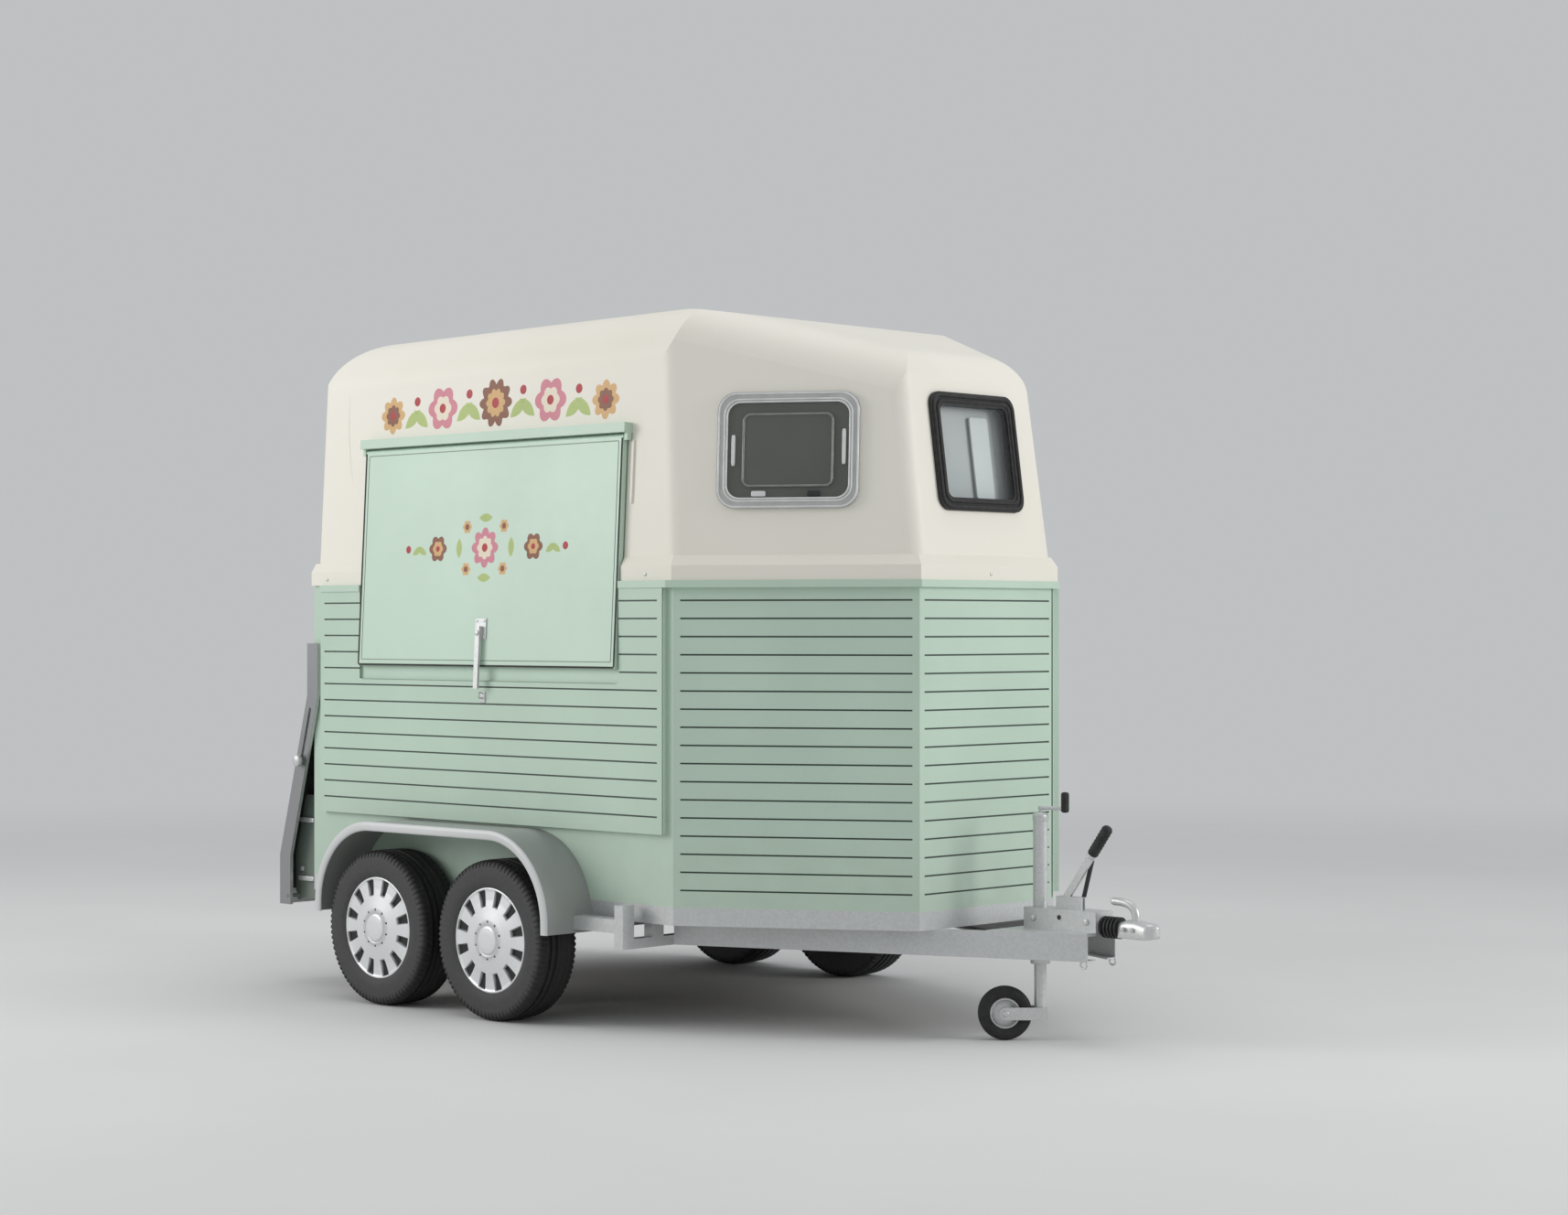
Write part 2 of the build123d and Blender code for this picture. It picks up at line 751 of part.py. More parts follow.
wheel_pieces = {"tyre": road_tyre(), "rim": road_rim(), "wheel_cover": wheel_cover()}
for end, x in (("front", front_axle_x), ("rear", rear_axle_x)):
    for piece, solid in wheel_pieces.items():
        left = Pos(x, half_track, tyre_radius) * solid
        nodes[f"{piece}_{end}_left"] = left
        nodes[f"{piece}_{end}_right"] = mirrored(left)


# Mudguards over both wheels of a side
def guard_profile(inset):
    """Side outline of a mudguard, open below: straight top and two quarter-round ends."""
    low = guard_end_height
    front = front_axle_x + tyre_radius + guard_front_gap - inset
    rear = rear_axle_x - tyre_radius - guard_front_gap + inset
    radius = guard_radius - inset
    top = guard_top - inset
    outline = make_face(Polyline((rear, low), (front, low), (front, top), (rear, top), close=True))
    outline = rounded(outline, (front, top), radius)
    return rounded(outline, (rear, top), radius)


def guard_slab(inset, inner_y, outer_y):
    flat = Plane(origin=(0, outer_y, 0), x_dir=(1, 0, 0), z_dir=(0, -1, 0))
    return extrude(flat * guard_profile(inset), outer_y - inner_y)


guard_outer_y = half_track + tyre_width / 2 + guard_overhang
guard = guard_slab(0, half_width, guard_outer_y) - guard_slab(guard_wall, half_width, guard_outer_y)
lip_inner_y = guard_outer_y - guard_wall
guard += guard_slab(0, lip_inner_y, guard_outer_y) - guard_slab(guard_lip, lip_inner_y, guard_outer_y)
nodes["mudguard_left"] = guard
nodes["mudguard_right"] = mirrored(guard)

# Overrun coupling: a plate over the arms, the housing, bellows, head and handle
plate_top = chassis_bottom + plate_thickness
housing_back = front_x + housing_rear
housing_front = housing_back + housing_length
housing_top = plate_top + housing_height
shaft_height = plate_top + housing_height / 2 - shaft_drop
half_housing = housing_width / 2
plate_rear = housing_back - plate_margin
arm_slope = tan(radians(arm_angle))
plate_points = [
    (arm_tip_x, -arm_tip_half),
    (arm_tip_x, arm_tip_half),
    (plate_rear, arm_tip_half + (arm_tip_x - plate_rear) * arm_slope),
    (plate_rear, -arm_tip_half - (arm_tip_x - plate_rear) * arm_slope),
]
housing = block(housing_back, housing_front, -half_housing, half_housing, plate_top, housing_top)
housing -= block(
    housing_back + housing_wall, housing_front - housing_wall, -half_housing + housing_wall,
    half_housing - housing_wall, plate_top, housing_top - housing_wall,
)
housing += prism(plate_points, chassis_bottom, plate_top)
jockey_x = front_x + jockey_reach
clamp_radius = jockey_tube_radius + clamp_clearance
housing -= rod((jockey_x, 0, chassis_bottom), (jockey_x, 0, housing_top), clamp_radius)
fold = bellows_length / bellows_folds
bellows_front = housing_front + bellows_length


def along_x(x, radius, length):
    return rod((x, 0, shaft_height), (x + length, 0, shaft_height), radius)


bellows = along_x(housing_front, bellows_radius - fold / 2, bellows_length)
for i in range(bellows_folds):
    bellows += along_x(housing_front + (i + 0.25) * fold, bellows_radius, fold / 2)
nodes["coupling_bellows"] = bellows
tip_x = front_x + coupling_reach
head_rear = bellows_front
ball_x = tip_x - ball_from_tip
head_low, head_high = shaft_height - head_height / 2, shaft_height + head_height / 2
half_head, half_neck = head_width / 2, head_neck_width / 2
head_outline = make_face(
    Polyline(
        (head_rear, -half_neck), (ball_x, -half_head), (tip_x, -half_head),
        (tip_x, half_head), (ball_x, half_head), (head_rear, half_neck), close=True,
    )
)
for y in (-half_head, half_head):
    head_outline = rounded(head_outline, (tip_x, y), head_corner_radius)
head = Pos(0, 0, head_low) * extrude(head_outline, head_height, dir=(0, 0, 1))
head = fillet([e for e in head.edges() if e.center().Z > shaft_height + half_neck], head_rounding)
socket_top = head_low + ball_depth
head -= rod((ball_x, 0, head_low), (ball_x, 0, socket_top), ball_radius)
nodes["coupling_head"] = head
handle_foot = (head_rear + handle_setback, 0, head_high)
handle_bend = (handle_foot[0], 0, head_high + handle_rise)
handle_end = (handle_bend[0] - handle_length, 0, handle_bend[2] + handle_tip_rise)
nodes["coupling_handle"] = (
    rod(handle_foot, handle_bend, handle_radius)
    + rod(handle_bend, handle_end, handle_radius)
    + Pos(*handle_bend) * Sphere(handle_elbow_radius)
    + Pos(*handle_end) * Sphere(handle_elbow_radius)
)

# Handbrake lever between two cheeks on the housing, with the strut that throws it
lever_foot = Vector(front_x + lever_reach, 0, housing_top + lever_width / 2 + lever_lift)
lever_way = Vector(lever_run, 0, lever_rise)
half_lever = lever_thickness / 2
lever_middle = lever_foot + lever_way / 2 - Vector(0, half_lever, 0)
lever_face = Plane(origin=lever_middle, x_dir=lever_way, z_dir=(0, 1, 0))
lever = extrude(lever_face * SlotCenterToCenter(lever_way.length, lever_width), lever_thickness)
lever += rod(tuple(lever_foot + lever_way * (1 - grip_share)), tuple(lever_foot + lever_way), grip_radius)
nodes["handbrake_lever"] = lever
cheek_outer = half_lever + cheek_thickness
cheek_rear, cheek_front = lever_foot.X - cheek_margin, lever_foot.X + strut_lead + cheek_margin
lever_cheek = block(cheek_rear, cheek_front, half_lever, cheek_outer, housing_top, housing_top + cheek_height)
nodes["overrun_housing"] = housing + lever_cheek + mirrored(lever_cheek)
strut_y = cheek_outer + strut_radius
strut_foot = Vector(lever_foot.X + strut_lead, strut_y, lever_foot.Z)
strut_top = lever_foot + lever_way * strut_share + Vector(0, strut_y, 0)
strut = rod(tuple(strut_foot), tuple(strut_top), strut_radius)
for end, inner in ((strut_foot, cheek_outer), (strut_top, half_lever)):
    strut += rod((end.X, inner, end.Z), (end.X, strut_y, end.Z), strut_pin_radius)
nodes["handbrake_strut"] = strut

# Jockey wheel: outer tube in its clamp, crank, swivelling leg with fork, and wheel
tube = rod((jockey_x, 0, jockey_bottom), (jockey_x, 0, jockey_top), jockey_tube_radius)
tube += rod((jockey_x, 0, jockey_bottom), (jockey_x, 0, jockey_bottom + collar_height), collar_radius)
bore_radius = jockey_tube_radius - jockey_wall
tube -= rod((jockey_x, 0, jockey_bottom), (jockey_x, 0, jockey_top - jockey_wall), bore_radius)
nodes["jockey_tube"] = tube
crank_direction = Vector(cos(radians(crank_bearing)), sin(radians(crank_bearing)), 0)
crank_foot = Vector(jockey_x, 0, jockey_top)
crank_top = crank_foot + Vector(0, 0, crank_rise)
crank_end = crank_top + crank_direction * crank_length
knob_top = crank_end + Vector(0, 0, crank_knob)
crank = rod(tuple(crank_foot), tuple(crank_top), crank_radius)
crank += rod(tuple(crank_top), tuple(crank_end), crank_radius)
crank += Pos(*crank_top) * Sphere(crank_elbow_radius)
crank += rod(tuple(crank_end - Vector(0, 0, knob_radius)), tuple(knob_top), knob_radius)
nodes["jockey_crank"] = crank

fork_place = Pos(jockey_x, 0, jockey_tyre_radius) * Rot(0, 0, jockey_trail_bearing)
leg_radius = bore_radius - jockey_leg_gap
fork_inner = jockey_tyre_width / 2 + fork_gap
fork_outer = fork_inner + fork_thickness
fork_low = -fork_height / 2
leg = rod((0, 0, fork_low), (0, 0, leg_top - jockey_tyre_radius), leg_radius)
leg += block(-leg_radius, leg_radius, -fork_outer, fork_outer, fork_low, -fork_low)
cheek_face = Plane(origin=(jockey_trail / 2, fork_inner, 0), x_dir=(1, 0, 0), z_dir=(0, 1, 0))
cheek = extrude(cheek_face * SlotCenterToCenter(jockey_trail, fork_height), fork_thickness)
leg += cheek + mirrored(cheek)
leg += rod((jockey_trail, -fork_outer, 0), (jockey_trail, fork_outer, 0), jockey_axle_radius)
nodes["jockey_leg"] = fork_place * leg
half_jockey = jockey_tyre_width / 2
jockey_bore = jockey_axle_radius + running_clearance
half_rim, hub_half = jockey_rim_width / 2, fork_inner - hub_side_play
hub = ring(jockey_rim_radius, jockey_bore, -half_rim, half_rim)
hub += ring(jockey_hub_radius, jockey_bore, -hub_half, hub_half)
nodes["jockey_rim"] = fork_place * Pos(jockey_trail, 0, 0) * hub
tread = ring(jockey_tyre_radius, jockey_rim_radius + tyre_seat_gap, -half_jockey, half_jockey)
rounding = tread.edges().filter_by(GeomType.CIRCLE).group_by(SortBy.RADIUS)[-1]
nodes["jockey_tyre"] = fork_place * Pos(jockey_trail, 0, 0) * fillet(rounding, jockey_tyre_rounding)

# Rear ramp: bent panel, rubber mat on its inside, side channels, and the plates that carry its pins
ramp_stations = [
    (rear_x - ramp_reach, ramp_bottom),
    (rear_x - ramp_reach, ramp_lower_bend),
    (rear_x - ramp_top_offset, ramp_upper_bend),
    (rear_x - ramp_top_offset, ramp_top),
]


def ramp_strip(back, front, inner_y, outer_y):
    """Strip along the ramp's side line, between two distances forward of its rear face."""
    line = [(x + back, z) for x, z in ramp_stations] + [(x + front, z) for x, z in reversed(ramp_stations)]
    side = Plane(origin=(0, outer_y, 0), x_dir=(1, 0, 0), z_dir=(0, -1, 0))
    return extrude(side * make_face(Polyline(*line, close=True)), outer_y - inner_y)


channel_inner = half_width + channel_wall_gap
channel_outer = channel_inner + channel_thickness
nodes["ramp_panel"] = ramp_strip(0, ramp_thickness, -channel_inner, channel_inner)
mat_half = half_width - mat_side_margin
mat_front = ramp_thickness + mat_thickness
mat = ramp_strip(ramp_thickness, mat_front, -mat_half, mat_half)
nodes["ramp_mat"] = mat & block(
    rear_x - ramp_reach, rear_x, -mat_half, mat_half, ramp_bottom + mat_margin, ramp_top - mat_margin
)
pin_x = rear_x - ramp_reach + channel_width - ramp_pin_inset
channel = ramp_strip(0, channel_width, channel_inner, channel_outer)
channel -= rod(
    (pin_x, channel_inner, ramp_pin_height), (pin_x, channel_outer, ramp_pin_height),
    ramp_pin_radius + running_clearance,
)
bend_run = Vector(ramp_stations[2][0] - ramp_stations[1][0], 0, ramp_upper_bend - ramp_lower_bend)
slot_foot = Vector(ramp_stations[1][0] + channel_width / 2, channel_inner, ramp_lower_bend)
slot_middle = slot_foot + bend_run * channel_slot_place
slot_face = Plane(origin=slot_middle, x_dir=bend_run, z_dir=(0, 1, 0))
channel -= extrude(slot_face * SlotOverall(channel_slot, channel_slot_width), channel_thickness)
knob_place = slot_middle - bend_run.normalized() * channel_slot / 2
knob = rod(
    (knob_place.X, channel_outer, knob_place.Z), (knob_place.X, channel_outer + knob_reach, knob_place.Z),
    ramp_knob_radius,
)
channel += knob
nodes["ramp_channels"] = [channel, mirrored(channel)]
plate_outer = half_width - side_plate_inset
plate_inner = plate_outer - side_plate_thickness
plate_back = rear_x - ramp_reach + mat_front + side_plate_gap
slope_run = (side_plate_top - ramp_lower_bend) * bend_run.X / bend_run.Z
plate_low = ramp_pin_height - ramp_pin_radius
plate_outline = make_face(
    Polyline(
        (rear_x, plate_low), (pin_x, plate_low), (plate_back, ramp_pin_height + pin_lug_radius),
        (plate_back, ramp_lower_bend), (plate_back + slope_run, side_plate_top), (rear_x, side_plate_top),
        close=True,
    )
)
plate_face = Plane(origin=(0, plate_outer, 0), x_dir=(1, 0, 0), z_dir=(0, -1, 0))
side_plate = extrude(plate_face * plate_outline, side_plate_thickness)
for inner, outer, radius in (
    (plate_inner, plate_outer, pin_lug_radius), (plate_outer, channel_outer, ramp_pin_radius)
):
    side_plate += rod((pin_x, inner, ramp_pin_height), (pin_x, outer, ramp_pin_height), radius)
nodes["ramp_side_plates"] = [side_plate, mirrored(side_plate)]

os.makedirs("parts", exist_ok=True)
for name, solids in nodes.items():
    shape = Compound(children=list(solids)) if isinstance(solids, list) else solids
    export_step(shape, f"parts/{name}.step")
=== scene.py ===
# %% [markdown]
# # A small food trailer
# The trailer is an old two-horse trailer turned into a snack stand: planked mint walls, a cream moulded
# hood, a hatch that swings up, a ramp at the back and two wheels on each side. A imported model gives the
# exact pieces and how they move. This lesson gives each piece its surface and adds the small parts that a
# plain model leaves out.

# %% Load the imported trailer
import json
import math

import bpy
import numpy as np
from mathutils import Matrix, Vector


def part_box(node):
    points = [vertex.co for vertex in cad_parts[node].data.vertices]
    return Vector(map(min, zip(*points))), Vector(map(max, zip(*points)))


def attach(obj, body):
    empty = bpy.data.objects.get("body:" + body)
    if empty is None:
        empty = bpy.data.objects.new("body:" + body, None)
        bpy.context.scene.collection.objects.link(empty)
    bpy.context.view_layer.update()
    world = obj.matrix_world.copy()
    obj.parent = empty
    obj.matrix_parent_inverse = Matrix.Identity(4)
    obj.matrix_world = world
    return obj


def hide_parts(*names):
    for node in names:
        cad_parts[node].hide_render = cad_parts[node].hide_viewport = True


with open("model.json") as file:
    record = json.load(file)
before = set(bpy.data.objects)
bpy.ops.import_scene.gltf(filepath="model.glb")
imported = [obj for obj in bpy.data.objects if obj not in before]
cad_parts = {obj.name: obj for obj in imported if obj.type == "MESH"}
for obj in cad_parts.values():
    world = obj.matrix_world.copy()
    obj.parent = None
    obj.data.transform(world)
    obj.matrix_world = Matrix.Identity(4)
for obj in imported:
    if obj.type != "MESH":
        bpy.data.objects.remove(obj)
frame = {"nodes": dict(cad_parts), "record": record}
nodes = frame["nodes"]
slots = {piece["node"]: piece["material_slot"] for piece in frame["record"]["subparts"]}


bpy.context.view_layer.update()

# %% [markdown]
# ## The camera
# A photograph of a box-like thing tells where its camera stood, because edges that run the same way in
# the world meet at one vanishing point. Here the camera stands off the right front corner, just under a
# metre and a half up, and looks level. A level camera keeps upright edges upright. The small shift lifts
# the picture's frame without tilting the camera, as a view camera does.

# %% Camera
CAMERA_PLACE = (7.9286, -8.1225, 1.4668)
CAMERA_TURN = math.radians(43.8115)
LEVEL = math.radians(90.0)
camera_data = bpy.data.cameras.new("camera")
camera_data.lens = 67.21
camera_data.sensor_width = 36.0
camera_data.shift_y = 0.0119
camera = bpy.data.objects.new("camera", camera_data)
camera.location = CAMERA_PLACE
camera.rotation_euler = (LEVEL, 0.0, CAMERA_TURN)
bpy.context.scene.collection.objects.link(camera)
bpy.context.scene.camera = camera
print("camera lens", camera_data.lens)

# %% [markdown]
# ## Building materials from nodes
# A shader is a small graph: a texture gives a grey value, a ramp turns it into a colour, and a principled
# shader turns the colour into light. The helper below keeps one graph short to write. Every texture reads
# the object's own coordinates, in metres, so a pattern stays put when a piece swings on its hinge.

# %% Shader helper


class Shader:
    """One material and short ways to add nodes to it."""

    def __init__(self, name):
        self.material = bpy.data.materials.new(name)
        self.material.use_nodes = True
        self.tree = self.material.node_tree
        self.principled = self.tree.nodes["Principled BSDF"]
        self.output = self.tree.nodes["Material Output"]
        self.place = self.add("ShaderNodeTexCoord").outputs["Object"]

    def add(self, kind, **settings):
        """A new node with its settings, numbers and links in one call."""
        node = self.tree.nodes.new(kind)
        for key, value in settings.items():
            if hasattr(node, key):
                setattr(node, key, value)
            else:
                self.put(node.inputs[key.replace("_", " ")], value)
        return node

    def put(self, socket, value):
        """A number, a colour or another node's output into a socket."""
        if isinstance(value, bpy.types.NodeSocket):
            self.tree.links.new(value, socket)
        else:
            socket.default_value = value

    def stretched(self, x, y, z):
        """Object coordinates scaled by a factor on each axis."""
        return self.add("ShaderNodeMapping", Vector=self.place, Scale=(x, y, z)).outputs["Vector"]

    def noise(self, scale, detail=3.0, place=None):
        """Soft cloudy grey value."""
        node = self.add("ShaderNodeTexNoise", Vector=place or self.place, Scale=scale, Detail=detail)
        return node.outputs["Fac"]

    def cells(self, scale):
        """Grey value that is the same over one cell, as in the crystals on galvanised steel."""
        node = self.add("ShaderNodeTexVoronoi", Vector=self.place, Scale=scale)
        return self.add("ShaderNodeSeparateColor", Color=node.outputs["Color"]).outputs[0]

    def axis(self, letter):
        """One coordinate, in metres."""
        return self.add("ShaderNodeSeparateXYZ", Vector=self.place).outputs[letter]

    def shade(self):
        """Grey value that is kept on the points of the piece itself."""
        return self.add("ShaderNodeAttribute", attribute_name="shade").outputs["Fac"]

    def math(self, operation, a, b=0.0):
        """One sum on grey values."""
        node = self.add("ShaderNodeMath", operation=operation)
        self.put(node.inputs[0], a)
        self.put(node.inputs[1], b)
        return node.outputs[0]

    def ramp(self, fac, *stops):
        """Colours at places along a grey value."""
        node = self.add("ShaderNodeValToRGB", Fac=fac)
        elements = node.color_ramp.elements
        while len(elements) < len(stops):
            elements.new(1.0)
        for element, (place, colour) in zip(elements, stops):
            element.position = place
            element.color = tuple(colour) + (1.0,)
        return node.outputs["Color"]

    def span(self, fac, low, high):
        """Grey value spread between two limits."""
        return self.add("ShaderNodeMapRange", Value=fac, To_Min=low, To_Max=high).outputs["Result"]

    def blend(self, fac, first, second):
        """Two colours mixed by a grey value."""
        node = self.add("ShaderNodeMix", data_type="RGBA")
        for key, value in (("Factor_Float", fac), ("A_Color", first), ("B_Color", second)):
            self.put(next(s for s in node.inputs if s.identifier == key), value)
        return next(s for s in node.outputs if s.identifier == "Result_Color")

    def marked(self, colour, mark):
        """A colour that gives way to the mark's colour where the mark's mask is one."""
        if mark is None:
            return colour
        mask, marked = mark
        return self.blend(mask(self), colour, marked + (1.0,))

    def bump(self, height, strength, distance):
        """Small hills on the surface from a grey value."""
        node = self.add("ShaderNodeBump", Height=height, Strength=strength, Distance=distance)
        self.put(self.principled.inputs["Normal"], node.outputs["Normal"])

    def finish(self, colour, roughness, metallic=0.0, **more):
        """Fills in the principled shader and returns the material."""
        self.put(self.principled.inputs["Base Color"], colour)
        self.put(self.principled.inputs["Roughness"], roughness)
        self.put(self.principled.inputs["Metallic"], metallic)
        for key, value in more.items():
            self.put(self.principled.inputs[key.replace("_", " ")], value)
        return self.material


def near(colour, amount):
    """A colour made lighter or darker by a factor."""
    return tuple(min(1.0, value * amount) for value in colour)


materials = {}
print("shader helper")

# %% [markdown]
# ## Mint paint on planks
# The walls are painted planks. Paint that has stood outside is never one colour: it fades in patches, and
# road dust settles on the lowest boards. A large soft noise makes the patches, a finer one gives the
# roller's orange peel, and the height above the ground mixes in a little dust. A mark can be added to any
# paint: a mask and the colour that shows where the mask is one.

# %% Paint helper
ROAD_DUST = (0.30, 0.29, 0.25, 1.0)
DUSTY_BELOW, CLEAN_ABOVE = 0.45, 0.95


def paint(name, colour, roughness=0.42, peel=900.0, dust=0.0, mark=None):
    """Satin paint with faded patches, orange peel, some dust near the ground and a mark if one is given."""
    shader = Shader(name)
    patches = shader.ramp(shader.noise(1.7, 4.0), (0.3, near(colour, 0.95)), (0.7, near(colour, 1.04)))
    low_down = shader.add("ShaderNodeMapRange", Value=shader.axis("Z"), From_Min=DUSTY_BELOW,
                          From_Max=CLEAN_ABOVE, To_Min=dust, To_Max=0.0)
    grime = shader.math("MULTIPLY", low_down.outputs["Result"], shader.noise(9.0, 5.0))
    tint = shader.marked(shader.blend(grime, patches, ROAD_DUST), mark)
    shader.bump(shader.noise(peel, 1.0), 0.06, 0.001)
    return shader.finish(tint, shader.span(shader.noise(24.0, 2.0), roughness - 0.06, roughness + 0.06))


print("dust up to", CLEAN_ABOVE, "m")

# %% [markdown]
# ## Painted shade in the grooves, and bright edges
# The grooves between the planks lie in shade, and that shade is painted on them as a dark colour. The
# rolled edge of a mudguard is painted bright. Both are part of a larger piece, so a mask has to find them.
# The groove mask measures how far a point lies along the wall's outward direction: a little less than the
# face means a groove. The edge mask asks how far out to the side a point lies. All limits are measured on
# the imported pieces.

# %% Painted pieces
MINT, MINT_DUST = (0.500, 0.640, 0.530), 0.35
# Painted shade: the dark colour of the plank grooves, which lie in shade; the corner joint uses it too.
GROOVE = (0.030, 0.058, 0.042)
BRIGHT_EDGE = (0.62, 0.63, 0.63)
FACE_SKIN, PLANK_END = 0.0008, 0.0045


def groove_mask(out_x, out_y, distance):
    """Mask of the grooves in a wall, where shade is painted: deeper than the wall's face skin, not at a
    plank's end.
    """

    def mask(shader):
        along_x = shader.math("MULTIPLY", shader.axis("X"), out_x)
        along_y = shader.math("MULTIPLY", shader.axis("Y"), out_y)
        reach = shader.math("ADD", along_x, along_y)
        deep = shader.math("LESS_THAN", reach, distance - FACE_SKIN)
        return shader.math("MULTIPLY", deep, shader.math("GREATER_THAN", reach, distance - PLANK_END))

    return mask


def beyond(limit):
    """Mask of what lies further out than a limit, on both sides of the trailer."""

    def mask(shader):
        return shader.math("GREATER_THAN", shader.math("ABSOLUTE", shader.axis("Y")), limit)

    return mask


shoulder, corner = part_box("side_wall_left")[1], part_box("front_wall")[1]
nose_turn = math.atan2(shoulder.y - corner.y, corner.x - shoulder.x)
nose_x, nose_y = math.sin(nose_turn), math.cos(nose_turn)
nose_distance = nose_x * corner.x + nose_y * corner.y
side_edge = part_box("side_cladding_left")[1].y
guard_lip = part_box("mudguard_left")[1].y - FACE_SKIN
wall_faces = {
    "side_cladding_left": (0.0, 1.0, side_edge),
    "side_cladding_right": (0.0, -1.0, side_edge),
    "nose_wall_left": (nose_x, nose_y, nose_distance),
    "nose_wall_right": (nose_x, -nose_y, nose_distance),
    "front_wall": (1.0, 0.0, corner.x),
}
# Each planked wall gets a paint of its own, with painted shade in its grooves.
own_finish = {
    node: paint("mint_" + node, MINT, dust=MINT_DUST, mark=(groove_mask(*face), GROOVE))
    for node, face in wall_faces.items()
}
PAINTS = {
    "mint_paint": dict(colour=MINT, dust=MINT_DUST),
    "mint_trim": dict(colour=near(MINT, 1.02), roughness=0.38),
    "mint_hatch": dict(colour=near(MINT, 1.08), roughness=0.36, peel=600.0),
    "plate_green": dict(colour=(0.120, 0.165, 0.140), roughness=0.5, dust=0.5),
    "grey_guard": dict(
        colour=(0.330, 0.345, 0.340), roughness=0.34, dust=0.3, mark=(beyond(guard_lip), BRIGHT_EDGE)
    ),
    "black_steel": dict(colour=(0.018, 0.018, 0.019), roughness=0.38),
    "wheel_steel": dict(colour=(0.022, 0.023, 0.025), roughness=0.45),
}
materials.update({name: paint(name, **look) for name, look in PAINTS.items()})
print(len(materials), "paints, nose turned", round(math.degrees(nose_turn), 1), "degrees")

# %% [markdown]
# ## The moulded hood
# The hood is glass fibre with a gel coat, a thick cream lacquer that is sprayed into the mould first. It
# is shiny but never quite flat: the fibres print through as long soft waves. A low, wide noise in the
# bump makes reflections wander the way they do on such a hood.

# %% Gel coat
shader = Shader("cream_shell")
cream = shader.ramp(shader.noise(1.1, 3.0), (0.3, (0.800, 0.765, 0.680)), (0.7, (0.845, 0.815, 0.735)))
satin = shader.span(shader.noise(12.0, 3.0), 0.40, 0.50)
shader.bump(shader.noise(5.0, 2.0), 0.10, 0.004)
materials["cream_shell"] = shader.finish(cream, satin, Specular_IOR_Level=0.32)
print("gel coat")

# %% [markdown]
# ## Zinc, galvanising and aluminium
# Hot-dip galvanised steel shows flat crystals, each catching the light at its own angle. A cell texture
# gives one value to each crystal. Bright zinc castings are smoother, and rolled aluminium carries fine
# lines along its length, made here with a noise that is stretched along one axis. The outer flanks of the
# ramp's channels lie in shade, and that shade is painted on them as a darker colour, a mark as on the
# paints.

# %% Metals
CHANNEL_SKIN = 0.0015
# Painted shade: the colour of the outer flanks of the ramp's channels, which lie in shade.
FLANK_SHADE = (0.30, 0.305, 0.31)


def spangled(name, low, high, crystals, roughness):
    """Galvanised steel: darkest and lightest crystal, number of crystals in a metre, lowest roughness."""
    shader = Shader(name)
    crystal = shader.cells(crystals)
    colour = shader.ramp(crystal, (0.0, low), (1.0, high))
    shader.bump(crystal, 0.04, 0.001)
    worn = shader.span(shader.noise(60.0, 3.0), roughness, roughness + 0.12)
    return shader.finish(colour, worn, metallic=0.45)


def drawn(name, low, high, stretch, roughness, mark=None):
    """Metal with fine lines along the axis with the smallest stretch, and a mark if one is given."""
    shader = Shader(name)
    lines = shader.noise(30.0, 4.0, shader.stretched(*stretch))
    colour = shader.marked(shader.ramp(lines, (0.3, low), (0.7, high)), mark)
    shader.bump(lines, 0.05, 0.0006)
    return shader.finish(colour, shader.span(lines, roughness, roughness + 0.12), metallic=0.75)


SPANGLED = {
    "galvanised_frame": ((0.54, 0.55, 0.55), (0.60, 0.61, 0.61), 130.0, 0.36),
    "galvanised_axle": ((0.22, 0.225, 0.23), (0.32, 0.325, 0.33), 70.0, 0.5),
    "zinc_casting": ((0.56, 0.57, 0.57), (0.64, 0.645, 0.64), 160.0, 0.30),
}
materials.update({name: spangled(name, *look) for name, look in SPANGLED.items()})
ALUMINIUM = dict(low=(0.58, 0.585, 0.59), high=(0.70, 0.705, 0.71), stretch=(9.0, 9.0, 0.4), roughness=0.28)
SILVER = dict(low=(0.52, 0.525, 0.535), high=(0.62, 0.625, 0.635), stretch=(3.0, 3.0, 3.0), roughness=0.26)
materials["ramp_aluminium"] = drawn("ramp_aluminium", **ALUMINIUM)
materials["cover_silver"] = drawn("cover_silver", **SILVER)
# The outer flanks beyond this limit get the painted shade.
channel_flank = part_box("ramp_side_plates")[1].y - CHANNEL_SKIN
own_finish["ramp_channels"] = drawn("ramp_channel", **ALUMINIUM, mark=(beyond(channel_flank), FLANK_SHADE))
print("metals, channel flanks beyond", round(channel_flank, 4), "m")

# %% [markdown]
# ## Rubber, board, lens and glass
# Rubber is dark and a little dusty. The deck is a resin-faced board with a fine wire pattern, and a
# lamp's lens is pressed into small prisms. The window frames are pale acrylic, the nose panes are smoked
# and the front pane is clear glass. For a thin pane a mix of a see-through shader and a mirror, weighed
# by the viewing angle, looks right and lets light into the cabin.

# %% Rubber and the rest


def rubber(name, low, high, grain):
    """Dark rubber with dust in its grain."""
    shader = Shader(name)
    dust = shader.noise(grain, 5.0)
    shader.bump(dust, 0.15, 0.0008)
    return shader.finish(shader.ramp(dust, (0.35, low), (0.75, high)), shader.span(dust, 0.62, 0.82))


def acrylic(name, low, high, scale, detail, smooth, rough, coat=0.0):
    """Cloudy plastic: one soft noise moves both its colour and its roughness between two limits."""
    shader = Shader(name)
    cloud = shader.noise(scale, detail)
    colour = shader.ramp(cloud, (0.3, low), (0.7, high))
    return shader.finish(colour, shader.span(cloud, smooth, rough), Coat_Weight=coat)


